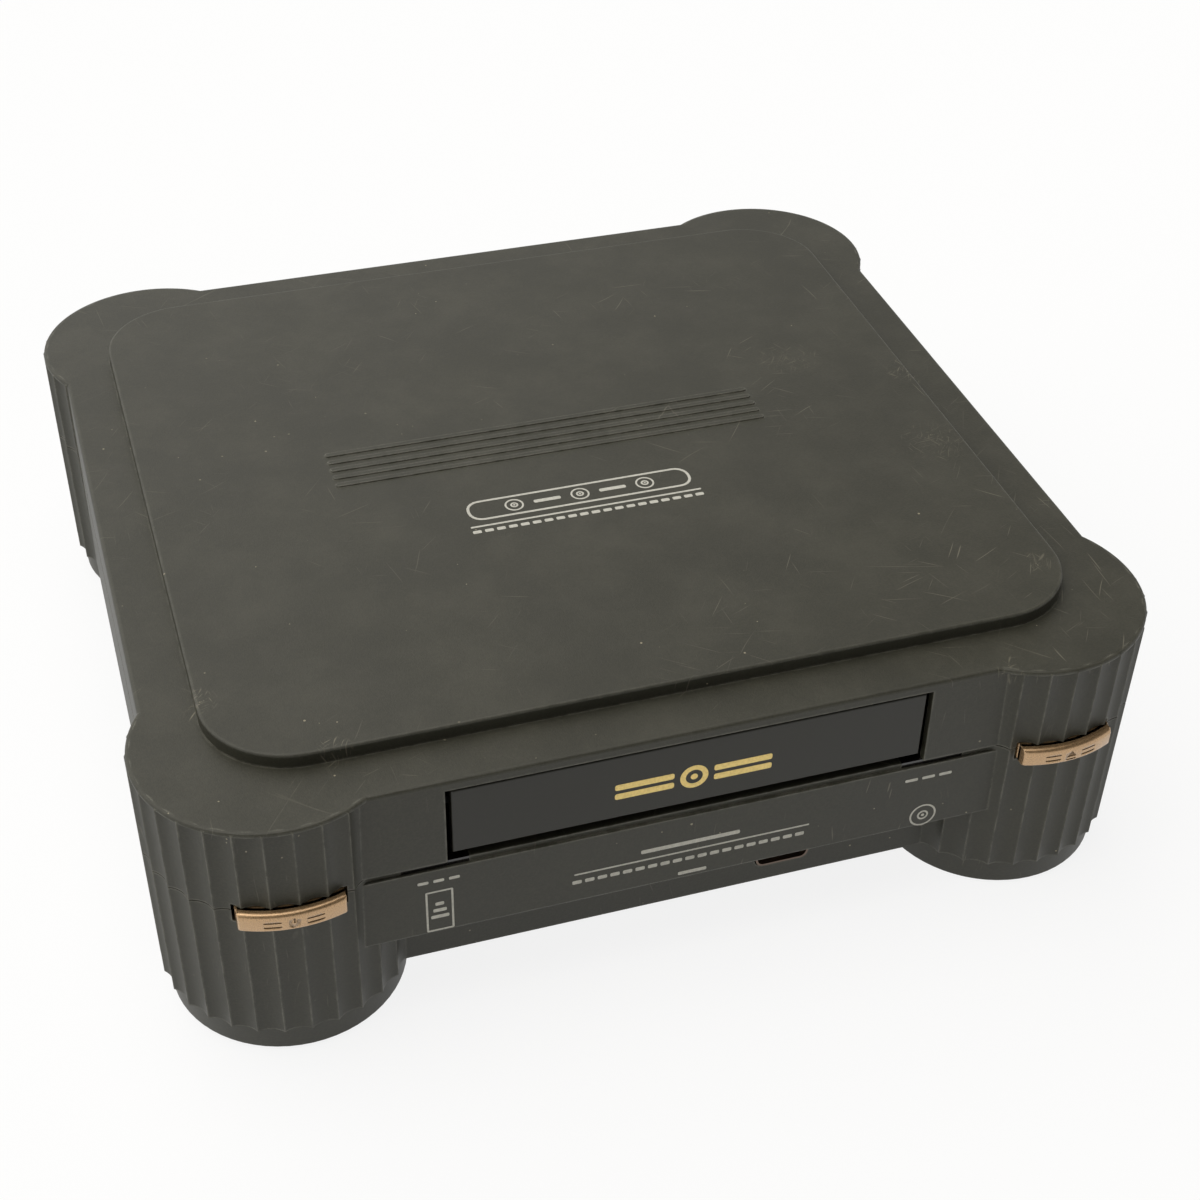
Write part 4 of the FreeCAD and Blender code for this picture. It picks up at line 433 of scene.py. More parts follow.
def case_plastic(settings):
    """Grained, satin case plastic with rubbed edges that also carry a painted highlight, scratches, specks
    and a film of dust.
    """
    tree = shader("case_plastic")
    colour = settings.case_colour
    wear_and_edge_highlight = settings.wear_and_edge_highlight
    grain = tree.effect("moulded_grain", Size=settings.grain_size, Depth=settings.grain_depth)
    clouded = tree.varied(tree.band(grain["Tone"], 0.35, 0.65), colour, 0.91, 1.09)
    pores = tree.band(tree.noise(0.8 * MM), 0.35, 0.65, 0.0, 0.30)
    # Pale edges: partly rubbed wear, partly a painted highlight along the rim and top edges.
    edge = tree.mask("edge_wear_and_highlight", Width=1.1 * MM, Amount=wear_and_edge_highlight * 0.8)
    layers = [
        (pores, scaled(colour, 0.45)),
        (tree.mask("dust", Amount=0.05), srgb(150, 146, 132)),
        (edge, srgb(148, 146, 134)),
        (tree.mask("scratches", Amount=wear_and_edge_highlight * 0.7), srgb(150, 144, 128)),
    ]
    for middle, reach, amount in SCUFFS:
        scuff = tree.mask("scuff", Middle=middle, Reach=reach, Amount=wear_and_edge_highlight * amount)
        layers.append((scuff, srgb(176, 168, 146)))
    layers.append((tree.mask("specks", Spacing=4.6 * MM, Amount=wear_and_edge_highlight * 1.1), srgb(186, 176, 150)))
    smooth = tree.maths("ADD", tree.times(edge, -0.08), 0.46)
    tree.look(Base_Color=tree.layered(clouded, *layers), Specular_IOR_Level=0.45,
              Roughness=tree.maths("ADD", smooth, tree.times(grain["Tone"], 0.10)),
              Normal=tree.bump(grain["Height"]))


def door_plastic(settings):
    """The door's smoother, darker plastic."""
    tree = shader("door_plastic")
    grain = tree.effect("moulded_grain", Size=settings.grain_size * 0.8, Depth=settings.grain_depth * 0.4)
    toned = tree.varied(tree.band(grain["Tone"], 0.35, 0.65), settings.door_colour, 0.92, 1.08)
    edge = tree.mask("edge_wear_and_highlight", Width=0.5 * MM, Amount=settings.wear_and_edge_highlight * 0.25)
    specks = tree.mask("specks", Spacing=9 * MM, Amount=settings.wear_and_edge_highlight * 0.5)
    tree.look(Base_Color=tree.layered(toned, (edge, srgb(120, 118, 112)), (specks, srgb(150, 146, 138))),
              Roughness=tree.spread(grain["Tone"], 0.38, 0.46), Specular_IOR_Level=0.38,
              Normal=tree.bump(grain["Height"]))


def button_bronze(settings):
    """Bronze paint with fine metal flakes over moulded plastic."""
    tree = shader("button_bronze")
    flakes = tree.add("ShaderNodeTexVoronoi", {"Vector": tree.here, "Scale": 1 / (0.16 * MM)})
    glint = tree.axes(flakes.outputs["Color"])[0]
    tone = tree.weighted(glint, 0.5, tree.noise(7 * MM, detail=3.0))
    painted = tree.varied(tone, settings.bronze_colour, 0.93, 1.07)
    edge = tree.mask("edge_wear_and_highlight", Width=0.5 * MM, Amount=settings.wear_and_edge_highlight * 0.5)
    tree.look(Base_Color=tree.mix(edge, painted, srgb(226, 198, 160)), Metallic=0.7,
              Roughness=tree.band(glint, 0.0, 1.0, 0.26, 0.38), Normal=tree.bump(glint, 0.004 * MM),
              Coat_Weight=0.6, Coat_Roughness=0.14)


def engraved_infill(settings):
    """The darker floor of the symbols cut into the buttons."""
    tree = shader("engraved_infill")
    grime = tree.noise(0.4 * MM, detail=4.0)
    tree.look(Base_Color=tree.varied(grime, settings.bronze_colour, 0.36, 0.72),
              Roughness=tree.spread(grime, 0.55, 0.75))


def smoked_lens():
    """Smoked clear plastic over the indicator lamps."""
    tree = shader("smoked_lens")
    haze = tree.noise(3 * MM, detail=4.0)
    tree.look(Base_Color=tree.mix(haze, srgb(16, 14, 14), srgb(30, 26, 24)), Coat_Weight=0.5,
              Roughness=tree.spread(haze, 0.12, 0.22), Coat_Roughness=0.08)


# Plastics and metals of the inner pieces. Grain and depth are in millimetres
PLASTICS = {
    "black_plastic": dict(colour=srgb(38, 38, 39), size=0.5, depth=0.02, rough=(0.42, 0.55)),
    "grey_plastic": dict(colour=srgb(104, 104, 102), size=0.5, depth=0.02, rough=(0.42, 0.55)),
    "white_plastic": dict(colour=srgb(222, 218, 206), size=0.6, depth=0.01, rough=(0.30, 0.42)),
    "rubber": dict(colour=srgb(40, 39, 38), size=0.9, depth=0.05, rough=(0.72, 0.88)),
}
METALS = {
    "steel": dict(colour=srgb(150, 150, 150), depth=0.010, rough=(0.30, 0.48)),
    "bright_steel": dict(colour=srgb(205, 206, 208), depth=0.004, rough=(0.12, 0.24)),
    "tin": dict(colour=srgb(190, 192, 192), depth=0.006, rough=(0.26, 0.42)),
    "dull_tin": dict(colour=srgb(112, 98, 88), depth=0.006, rough=(0.34, 0.50)),
    "aluminium": dict(colour=srgb(196, 198, 200), depth=0.012, rough=(0.30, 0.46)),
    "gold_metal": dict(colour=srgb(222, 184, 96), depth=0.004, rough=(0.18, 0.30)),
}


def inner_plastic(name, colour, size, depth, rough):
    """A plain moulded plastic or rubber of the inner pieces."""
    tree = shader(name)
    grain = tree.effect("moulded_grain", Size=size * MM, Depth=depth * MM)
    toned = tree.varied(tree.spread(grain["Tone"], 0.0, 1.0), colour, 0.86, 1.10)
    dust = tree.mask("dust", Amount=0.10)
    edge = tree.mask("edge_wear_and_highlight", Width=0.4 * MM, Amount=0.25)
    pale = tuple(min(1.0, channel * 1.6 + 0.04) for channel in colour[:3]) + (1.0,)
    tree.look(Base_Color=tree.layered(toned, (dust, srgb(136, 132, 122)), (edge, pale)),
              Roughness=tree.spread(grain["Tone"], *rough), Normal=tree.bump(grain["Height"]))


def drawn_metal(name, colour, depth, rough):
    """A bare metal with fine drawn lines and faint stains."""
    tree = shader(name)
    brushed = tree.effect("brushed", Depth=depth * MM)
    toned = tree.varied(tree.spread(brushed["Tone"], 0.0, 1.0), colour, 0.82, 1.0)
    dust = tree.mask("dust", Amount=0.15)
    tree.look(Base_Color=tree.mix(dust, toned, srgb(140, 136, 126)),
              Metallic=tree.maths("SUBTRACT", 1.0, dust),
              Roughness=tree.spread(brushed["Tone"], *rough), Normal=tree.bump(brushed["Height"]))


def circuit_board():
    """Green lacquered board with copper tracks under the lacquer and tinned pads."""
    tree = shader("circuit_board")
    cells = tree.add("ShaderNodeTexBrick", {"Vector": tree.here, "Scale": 1 / (9 * MM), "Mortar Size": 0.035,
                                            "Brick Width": 0.62, "Row Height": 0.13, "Bias": 0.0},
                     offset=0.37, squash=0.6, squash_frequency=3)
    tracks = tree.maths("SUBTRACT", 1.0, cells.outputs["Fac"])
    dots = tree.add("ShaderNodeTexVoronoi", {"Vector": tree.here, "Scale": 1 / (3.2 * MM)}, feature="F1")
    pads = tree.maths("LESS_THAN", dots.outputs["Distance"], 0.17)
    tone = tree.noise(18 * MM, detail=3.0)
    laminate = tree.mix(tone, srgb(24, 66, 42), srgb(32, 82, 50))
    layers = ((tree.times(tracks, 0.55), srgb(58, 118, 70)), (pads, srgb(188, 190, 186)))
    height = tree.maths("ADD", tracks, tree.times(pads, 2.0))
    tree.look(Base_Color=tree.layered(laminate, *layers), Metallic=pads,
              Roughness=tree.spread(tone, 0.26, 0.40), Normal=tree.bump(height, 0.03 * MM))


def chip_black():
    """Black moulded epoxy, slightly speckled."""
    tree = shader("chip_black")
    filler = tree.noise(0.25 * MM, detail=3.0)
    tree.look(Base_Color=tree.mix(filler, srgb(24, 24, 26), srgb(46, 46, 48)),
              Roughness=tree.spread(filler, 0.45, 0.65), Normal=tree.bump(filler, 0.012 * MM))


def striped(name, axis, spacing, share, first, second, rough, metallic=0.0, depth=0.0):
    """Straight stripes along a piece: leads of a ribbon, sheets of a core, a mark on a sleeve."""
    tree = shader(name)
    across = tree.maths("FRACT", tree.times(tree.axes(tree.here)[axis], 1 / spacing))
    stripe = tree.band(tree.maths("ABSOLUTE", tree.maths("SUBTRACT", across, 0.5)), share, share - 0.06)
    tone = tree.noise(5 * MM, detail=4.0)
    tree.look(Base_Color=tree.mix(stripe, tree.varied(tone, first, 0.88, 1.08), second),
              Roughness=tree.spread(tone, *rough), Metallic=metallic, Normal=tree.bump(stripe, depth * MM))


def lens_glass():
    """The small coated objective lens of the pickup."""
    tree = shader("lens_glass")
    haze = tree.noise(1.5 * MM, detail=3.0)
    tree.look(Base_Color=tree.mix(haze, srgb(150, 160, 205), srgb(190, 200, 235)),
              Roughness=tree.spread(haze, 0.02, 0.06), Transmission_Weight=0.85, IOR=1.55,
              Coat_Weight=0.6, Coat_Tint=srgb(160, 140, 240))


def printed_ink(name, colour, metallic, rough):
    """Ink or foil laid on the plastic, thinned a little where it has been rubbed."""
    tree = shader(name)
    rubbed = tree.noise(0.9 * MM, detail=5.0, roughness=0.7)
    tree.look(Base_Color=tree.varied(tree.band(rubbed, 0.35, 0.72), colour, 1.0, 0.80),
              Roughness=tree.spread(rubbed, rough, rough + 0.14), Metallic=metallic,
              Normal=tree.bump(rubbed, 0.01 * MM))


def build_materials(settings):
    """Every finish, named as the record's material slots where it has one."""
    case_plastic(settings)
    door_plastic(settings)
    button_bronze(settings)
    engraved_infill(settings)
    smoked_lens()
    for name, values in PLASTICS.items():
        inner_plastic(name, **values)
    for name, values in METALS.items():
        drawn_metal(name, **values)
    circuit_board()
    chip_black()
    striped("ribbon", 1, 1.0 * MM, 0.28, srgb(214, 212, 204), srgb(150, 150, 148), (0.4, 0.55), depth=0.05)
    striped("core_steel", 1, 0.5 * MM, 0.12, srgb(92, 90, 88), srgb(40, 38, 38), (0.4, 0.6), 0.8, 0.03)
    striped("capacitor_sleeve", 2, 9.0 * MM, 0.10, srgb(28, 40, 66), srgb(176, 176, 170), (0.25, 0.4))
    lens_glass()
    printed_ink("grey_print", settings.print_colour, 0.0, 0.5)
    printed_ink("gold_print", settings.gold_colour, 0.25, 0.30)


# Modelling helpers

def deselect_all():
    bpy.ops.object.select_all(action="DESELECT")


def make_active(piece):
    deselect_all()
    piece.select_set(True)
    bpy.context.view_layer.objects.active = piece


def start_edit():
    bpy.ops.object.mode_set(mode="EDIT")


def leave_edit():
    bpy.ops.object.mode_set(mode="OBJECT")


def select_mesh():
    bpy.ops.mesh.select_all(action="SELECT")


def edit_all(piece):
    """Goes into edit mode with the whole of a piece selected."""
    make_active(piece)
    start_edit()
    select_mesh()


def close_up():
    """In edit mode: turns every face outwards, and leaves the mode."""
    select_mesh()
    bpy.ops.mesh.normals_make_consistent(inside=False)
    leave_edit()


def dress(piece, material):
    """Gives a piece one material and nothing else."""
    piece.data.materials.clear()
    piece.data.materials.append(bpy.data.materials[material])


def settle(piece, location, turn=(0.0, 0.0, 0.0)):
    """Puts a piece in its place, with the place in its mesh."""
    make_active(piece)
    piece.rotation_euler = turn
    piece.location = location
    bpy.ops.object.transform_apply(location=True, rotation=True, scale=True)


def shifted(piece, x, y):
    settle(piece, (x, y, 0.0))
    return piece


def thicken(thickness):
    """In edit mode: raises the selected flat face into a plate."""
    bpy.ops.mesh.extrude_region_move(TRANSFORM_OT_translate={"value": (0, 0, thickness)})
    close_up()


def hollow_out(margin):
    """In edit mode: leaves only a rim of the given width of a flat face."""
    select_mesh()
    bpy.ops.mesh.inset(thickness=margin, depth=0.0)
    bpy.ops.mesh.delete(type="FACE")
    select_mesh()


def rounded_face(width, height, corner):
    """A flat face with rounded corners about the origin, in edit mode."""
    deselect_all()
    bpy.ops.mesh.primitive_plane_add(size=1.0, location=(0, 0, 0))
    face = bpy.context.object
    face.scale = (width, height, 1.0)
    bpy.ops.object.transform_apply(location=False, rotation=False, scale=True)
    edit_all(face)
    bpy.ops.mesh.bevel(offset=corner, segments=5, affect="VERTICES")
    return face


def rounded_plate(width, height, corner, thickness):
    """A thin plate with rounded corners, lying flat about the origin."""
    plate = rounded_face(width, height, corner)
    select_mesh()
    thicken(thickness)
    return plate


def rounded_frame(width, height, corner, line, thickness):
    """A thin rectangular outline with rounded corners."""
    outline = rounded_face(width, height, corner)
    hollow_out(line)
    thicken(thickness)
    return outline


def round_face(radius, corners):
    """A flat disc about the origin, or a regular figure with few corners, in edit mode."""
    deselect_all()
    bpy.ops.mesh.primitive_circle_add(vertices=corners, radius=radius, fill_type="NGON", location=(0, 0, 0))
    disc = bpy.context.object
    edit_all(disc)
    return disc


def ring(outer, line, thickness):
    """A thin flat ring about the origin."""
    disc = round_face(outer, 64)
    hollow_out(line)
    thicken(thickness)
    return disc


def disc_plate(radius, thickness, corners=48):
    """A thin flat disc, or a regular figure with few corners."""
    disc = round_face(radius, corners)
    thicken(thickness)
    return disc


def bar(width, height, corner, x, y, thickness):
    """A rounded plate that lies flat about x and y."""
    return shifted(rounded_plate(width, height, corner, thickness), x, y)


def in_row(count, pitch, middle=0.0):
    """Where each of a number of like things in a row about the middle is."""
    return [middle + (index - (count - 1) / 2) * pitch for index in range(count)]


def bar_row(count, pitch, width, height, corner, y, thickness):
    return [bar(width, height, corner, x, y, thickness) for x in in_row(count, pitch)]


def select_none(piece):
    """Leaves a piece with none of its mesh selected, ready for a choice of corners or faces."""
    make_active(piece)
    start_edit()
    bpy.ops.mesh.select_all(action="DESELECT")
    bpy.ops.mesh.select_mode(type="VERT")
    leave_edit()


def select_vertices(piece, chosen):
    """Selects the corners whose place the test accepts, ready for edit mode."""
    select_none(piece)
    for vertex in piece.data.vertices:
        vertex.select = chosen(vertex.co)


def joined(name, parts):
    """Several parts as one piece."""
    deselect_all()
    for part in parts:
        part.select_set(True)
    bpy.context.view_layer.objects.active = parts[0]
    bpy.ops.object.join()
    piece = bpy.context.object
    piece.name = name
    piece.data.name = name
    return piece


def packed_copy(node, name, merge):
    """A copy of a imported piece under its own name, with corners nearer than merge made one."""
    copy = bpy.data.objects.new(name, frame["nodes"][node].data.copy())
    bpy.context.scene.collection.objects.link(copy)
    edit_all(copy)
    bpy.ops.mesh.remove_doubles(threshold=merge)
    leave_edit()
    return copy


def cut_with(piece, cutter, material_mode):
    """Cuts one closed piece out of another and removes the cutter."""
    make_active(piece)
    cut = piece.modifiers.new("cut", "BOOLEAN")
    cut.operation = "DIFFERENCE"
    cut.solver = "EXACT"
    cut.material_mode = material_mode
    cut.object = cutter
    bpy.ops.object.modifier_apply(modifier=cut.name)
    bpy.data.objects.remove(cutter)


def profile_plate(inner, outer, low, high, corners):
    """An upright plate from the inner to the outer radius, its outer corners cut or rounded, in edit mode."""
    deselect_all()
    bpy.ops.mesh.primitive_plane_add(size=1.0, location=((inner + outer) / 2, 0.0, (low + high) / 2),
                                     rotation=(math.pi / 2, 0.0, 0.0))
    plate = bpy.context.object
    plate.scale = (outer - inner, high - low, 1.0)
    bpy.ops.object.transform_apply(location=True, rotation=True, scale=True)
    for height, offset, segments in corners:
        select_vertices(plate, lambda place: abs(place.z - height) < MERGE and abs(place.x - outer) < MERGE)
        start_edit()
        bpy.ops.mesh.bevel(offset=offset, segments=segments, affect="VERTICES")
        leave_edit()
    edit_all(plate)
    return plate


def spin(steps, angle):
    """In edit mode: turns a profile plate about the upright axis into a closed part."""
    bpy.ops.mesh.spin(steps=steps, angle=angle, center=(0, 0, 0), axis=(0, 0, 1))
    select_mesh()
    bpy.ops.mesh.remove_doubles(threshold=MERGE)
    close_up()


def full_turn(steps):
    """In edit mode: turns the outline of a profile plate all the way round the upright axis."""
    bpy.ops.mesh.delete(type="ONLY_FACE")
    select_mesh()
    spin(steps, 2 * math.pi)


# Printed and raised marks

FACE_UP = (0.0, 0.0, 0.0)
FACE_FRONT = (math.pi / 2, 0.0, 0.0)
FACE_BACK = (math.pi / 2, 0.0, math.pi)


def lay_marks(name, parts, place, turn=FACE_FRONT, material="grey_print", body="case"):
    """Joins flat marks to one piece, lays it on its surface and lets it ride on a body."""
    piece = joined(name, parts)
    settle(piece, place, turn)
    dress(piece, material)
    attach(piece, body)
    return piece


def disc_symbol(marks, radius):
    """A plain disc: an outer ring, an inner ring and a middle dot."""
    line = marks.line_width
    return [ring(radius, line, marks.thickness), ring(radius * 0.42, line, marks.thickness),
            disc_plate(radius * 0.12, marks.thickness)]


def make_rear_marks(marks):
    """On the back panel: dots under each of three jacks, and lines under the sockets and the switch."""
    low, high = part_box("jack_sleeves")
    jacks = (low + high) / 2
    radius = (high.z - low.z) / 2
    pitch = (high.x - low.x - 2 * radius) / 2
    dot_z = jacks.z - radius - 3.2 * MM
    parts = []
    for index, jack_x in enumerate(in_row(3, -pitch, -jacks.x)):
        for x in in_row(index + 1, 2.2 * MM, jack_x):
            parts.append(shifted(disc_plate(0.6 * MM, marks.thickness, corners=20), x, dot_z))
    low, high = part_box("video_socket")
    line_z = jacks.z - (high.z - low.z) / 2 - 2.6 * MM
    for node in ("video_socket", "modulator", "channel_knob"):
        parts.append(bar(7 * MM, 0.9 * MM, 0.3 * MM, -middle_of(node).x, line_z, marks.thickness))
    lay_marks("rear_marks", parts, (0.0, PANEL_BACK_Y, 0.0), FACE_BACK)


def make_door_mark(marks):
    """A gold foil ring with a dot in it, between two pairs of gold bars, in the middle of the door."""
    half_length = 24 * MM
    radius = 4.3 * MM
    gap = 1.8 * MM
    length = half_length - radius - gap
    parts = [ring(radius, 1.7 * MM, marks.thickness), disc_plate(1.1 * MM, marks.thickness)]
    for side in (-1, 1):
        for row in (-1, 1):
            x = side * (radius + gap + length / 2)
            parts.append(bar(length, 2.2 * MM, 0.7 * MM, x, row * 1.75 * MM, marks.thickness))
    lay_marks("door_mark", parts, DOOR_MARK_PLACE, material="gold_print", body="tray")


def make_strip_marks(marks):
    """Grey lines and dashes in the middle of the front strip."""
    line = marks.line_width
    thickness = marks.thickness
    parts = [bar(74 * MM, line, line * 0.4, 1.0 * MM, 2.6 * MM, thickness)]
    parts.append(bar(31 * MM, 1.5 * MM, 0.5 * MM, 0.0, 6.0 * MM, thickness))
    parts += bar_row(19, 3.9 * MM, 2.9 * MM, 1.4 * MM, 0.42 * MM, -0.6 * MM, thickness)
    parts.append(bar(9 * MM, 1.3 * MM, 0.4 * MM, 1.0 * MM, -6.4 * MM, thickness))
    lay_marks("strip_marks", parts, STRIP_MARKS_PLACE)


def make_lens_marks(marks):
    """Three dashes by each lens, with a frame of bars on the left and a disc on the right."""
    thickness = marks.thickness
    left = bar_row(3, 4.6 * MM, 3.2 * MM, 1.1 * MM, 0.4 * MM, 12.2 * MM, thickness)
    left.append(rounded_frame(8.2 * MM, 16.4 * MM, 0.5 * MM, marks.line_width, thickness))
    for width, y in ((5.4 * MM, -2.4 * MM), (4.0 * MM, 0.2 * MM), (2.6 * MM, 2.8 * MM)):
        left.append(bar(width, 1.3 * MM, 0.4 * MM, 0.0, y, thickness))
    lay_marks("left_lens_marks", left, LEFT_LENS_PLACE)
    right = bar_row(3, 5.6 * MM, 4.2 * MM, 1.1 * MM, 0.4 * MM, 16.0 * MM, thickness)
    lay_marks("right_lens_marks", right + disc_symbol(marks, 4.4 * MM), RIGHT_LENS_PLACE)


def make_top_marks(marks):
    """On the raised top: an outline with three discs and two bars, over a line and a row of dashes."""
    thickness = marks.thickness
    parts = [rounded_frame(75 * MM, 10.5 * MM, 4.6 * MM, 0.9 * MM, thickness)]
    for x in in_row(3, 22 * MM):
        parts += [shifted(part, x, 0.0) for part in disc_symbol(marks, 3.1 * MM)]
    parts += bar_row(2, 22 * MM, 9 * MM, 1.6 * MM, 0.6 * MM, 0.0, thickness)
    parts.append(bar(77 * MM, 0.8 * MM, 0.3 * MM, 0.0, -8.2 * MM, thickness))
    parts += bar_row(20, 3.9 * MM, 2.8 * MM, 1.5 * MM, 0.45 * MM, -10.9 * MM, thickness)
    lay_marks("top_marks", parts, TOP_MARKS_PLACE, FACE_UP)


def make_chin_mark():
    """A low raised outline with two rows of pins in it, beside the controller socket."""
    raised = 0.25 * MM
    parts = [rounded_frame(24 * MM, 4.4 * MM, 1.2 * MM, 0.7 * MM, raised)]
    for y, count in ((0.75 * MM, 5), (-0.75 * MM, 4)):
        for x in in_row(count, 3.8 * MM):
            parts.append(shifted(disc_plate(0.45 * MM, raised, corners=16), x, y))
    piece = lay_marks("chin_mark", parts, CHIN_MARK_PLACE, material="case_plastic")


# Pillar rims

def pillar_rim(x, y):
    """The smooth rounded rim that closes the flutes at the top of one pillar."""
    low = RIM_TOP_Z - RIM_HEIGHT
    corners = ((RIM_TOP_Z, RIM_ROUND, 6), (low, RIM_UNDERCUT, 1))
    rim = profile_plate(RIM_OUTER_R - RIM_WIDTH, RIM_OUTER_R, low, RIM_TOP_Z, corners)
    full_turn(RIM_STEPS)
    return shifted(rim, x, y)


def make_pillar_rims():
    """One piece for the rims of all four pillars."""
    rims = [pillar_rim(side * PILLAR_X, end * PILLAR_Y) for side in (-1, 1) for end in (-1, 1)]
    piece = joined("pillar_rims", rims)
    bpy.ops.object.shade_smooth_by_angle(angle=RIM_SMOOTH)
    dress(piece, "case_plastic")
    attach(piece, "case")


# Buttons and their springs

def power_symbol(size, line, depth):
    """The usual ring, open at the top, with an upright bar in the gap."""
    radius = size / 2
    arc = ring(radius, line, depth)
    select_none(arc)
    for face in arc.data.polygons:
        face.select = face.center.y > 0 and abs(face.center.x) < line * 1.15
    start_edit()
    bpy.ops.mesh.delete(type="FACE")
    select_mesh()
    bpy.ops.mesh.fill_holes(sides=4)
    close_up()
    return [arc, bar(line, size * 0.58, line * 0.3, 0.0, radius * 0.62, depth)]


def eject_symbol(size, line, depth):
    """The usual triangle over a bar."""
    triangle = disc_plate(size * 0.62, depth, corners=3)
    triangle.scale = (1.0, 0.85, 1.0)
    base = bar(size * 1.07, line, line * 0.2, 0.0, -size * 0.47, depth)
    return [shifted(triangle, 0.0, size * 0.06), base]


def button_back(node, pillar):
    """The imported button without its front: its flange, its stem and the start of its bar."""
    back = packed_copy(node, node + "_back", 2 * MERGE)
    dress(back, "button_bronze")
    spare = 5 * MM
    cutter = profile_plate(BUTTON_SPLIT_R, BUTTON_FACE_R + spare, BUTTON_LOW_Z - spare,
                           BUTTON_TOP_Z + spare, ())
    full_turn(180)
    settle(cutter, pillar)
    cut_with(back, cutter, "INDEX")
    return back


def end_button(front, pillar, end_x, way):
    """Cuts off one end of a button's front, and rounds the edges that this leaves."""
    edit_all(front)
    bpy.ops.mesh.bisect(plane_co=(end_x, 0, 0), plane_no=(way, 0, 0), use_fill=True, clear_outer=True)
    leave_edit()

    def on_end(place):
        radius = math.hypot(place.x - pillar[0], place.y - pillar[1])
        return radius > BUTTON_SPLIT_R + 0.1 * MM and abs(place.x - end_x) < MERGE

    select_vertices(front, on_end)
    start_edit()
    bpy.ops.mesh.select_mode(type="EDGE")
    bpy.ops.mesh.bevel(offset=BUTTON_FOOT_ROUND * 0.9, segments=4, affect="EDGES")
    bpy.ops.mesh.select_mode(type="VERT")
    leave_edit()


def button_front(side, pillar):
    """The curved bar that is seen: well rounded along its top, less along its foot and ends."""
    corners = ((BUTTON_TOP_Z, BUTTON_TOP_ROUND, 8), (BUTTON_LOW_Z, BUTTON_FOOT_ROUND, 4))
    front = profile_plate(BUTTON_SPLIT_R - 1 * MM, BUTTON_FACE_R, BUTTON_LOW_Z, BUTTON_TOP_Z, corners)
    spin(BUTTON_STEPS, BUTTON_SWEEP)
    turns = [math.atan2(vertex.co.y, vertex.co.x) for vertex in front.data.vertices]
    settle(front, pillar, (0.0, 0.0, -math.pi / 2 - (min(turns) + max(turns)) / 2))
    for way in (-1, 1):
        end_button(front, pillar, side * BUTTON_X + way * BUTTON_HALF_X, way)
    dress(front, "button_bronze")
    return front


def set_on_button(part, pillar, x, z, depth):
    """Stands a flat cutter on the curved face of a button at x, sunk by the depth."""
    turn = math.asin((x - pillar[0]) / BUTTON_FACE_R)
    radius = BUTTON_FACE_R - depth
    place = (pillar[0] + radius * math.sin(turn), pillar[1] - radius * math.cos(turn), z)
    settle(part, place, (math.pi / 2, 0.0, turn))
    return part


def button_piece(node, side, symbol, marks):
    """A bronze button whose symbol, between pairs of short lines, is cut into its face."""
    pillar = (side * PILLAR_X, -PILLAR_Y, 0.0)
    depth = marks.engraving_depth
    line = marks.line_width * 0.85
    front = button_front(side, pillar)
    middle = joined(node + "_symbol", symbol(marks.symbol_size, line, 3 * depth))
    parts = [set_on_button(middle, pillar, side * BUTTON_X, BUTTON_MARK_Z, depth)]
    for end in (-1, 1):
        for row in (-1, 1):
            dash = rounded_plate(5.0 * MM, line, line * 0.3, 3 * depth)
            x = side * BUTTON_X + end * 6.0 * MM
            parts.append(set_on_button(dash, pillar, x, BUTTON_MARK_Z + row * 0.8 * MM, depth))
    cutter = joined(node + "_cutter", parts)
    dress(cutter, "engraved_infill")
    cut_with(front, cutter, "TRANSFER")
    button = joined(node + "_cap", [front, button_back(node, pillar)])
    make_active(button)
    bpy.ops.object.shade_smooth_by_angle(angle=BUTTON_SMOOTH)
    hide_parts(node)
    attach(button, node)


def make_spring(node):
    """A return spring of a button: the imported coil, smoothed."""
    spring = packed_copy(node, node + "_coil", MERGE)
    bpy.ops.object.shade_smooth_by_angle(angle=SPRING_SMOOTH)
    dress(spring, "bright_steel")
    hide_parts(node)
    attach(spring, "case")
    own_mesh(spring)


# Stage

CAMERA_PLACE = (-0.1630, -0.5415, 0.4782)
CAMERA_YAW = math.radians(-18.448)
CAMERA_PITCH = math.radians(38.362)
CAMERA_ROLL = math.radians(1.280)
CAMERA_LENS = 61.357
SENSOR_WIDTH = 36.0

FLOOR_SIZE = 14.0
WHITE_SHARE = 0.86

WINDOW_SIDE = (-0.72, 0.52, 0.46)
VIEWER_SIDE_COLOUR = (0.05, 0.05, 0.05, 1.0)
WINDOW_TINT = (1.0, 0.985, 0.94)
WHITE = (1.0, 1.0, 1.0, 1.0)

LAMP_SIDE = (-0.06, 0.02, 1.0)
LAMP_ANGLE = math.radians(46)
LAMP_COLOUR = (1.0, 0.975, 0.93)


def camera_axes():
    """The camera's right, up and backward directions, from its yaw, pitch and roll."""
    back = Vector((math.sin(CAMERA_YAW) * math.cos(CAMERA_PITCH),
                   -math.cos(CAMERA_YAW) * math.cos(CAMERA_PITCH), math.sin(CAMERA_PITCH)))
    right = (-back).cross(Vector((0, 0, 1))).normalized()
    up = right.cross(-back)
    cosine = math.cos(CAMERA_ROLL)
    sine = math.sin(CAMERA_ROLL)
    return right * cosine + up * sine, up * cosine - right * sine, back


def make_camera():
    data = bpy.data.cameras.new("camera")
    data.lens = CAMERA_LENS
    data.sensor_width = SENSOR_WIDTH
    camera = bpy.data.objects.new("camera", data)
    bpy.context.scene.collection.objects.link(camera)
    axes = Matrix(camera_axes()).transposed().to_4x4()
    camera.matrix_world = Matrix.Translation(CAMERA_PLACE) @ axes
    bpy.context.scene.camera = camera


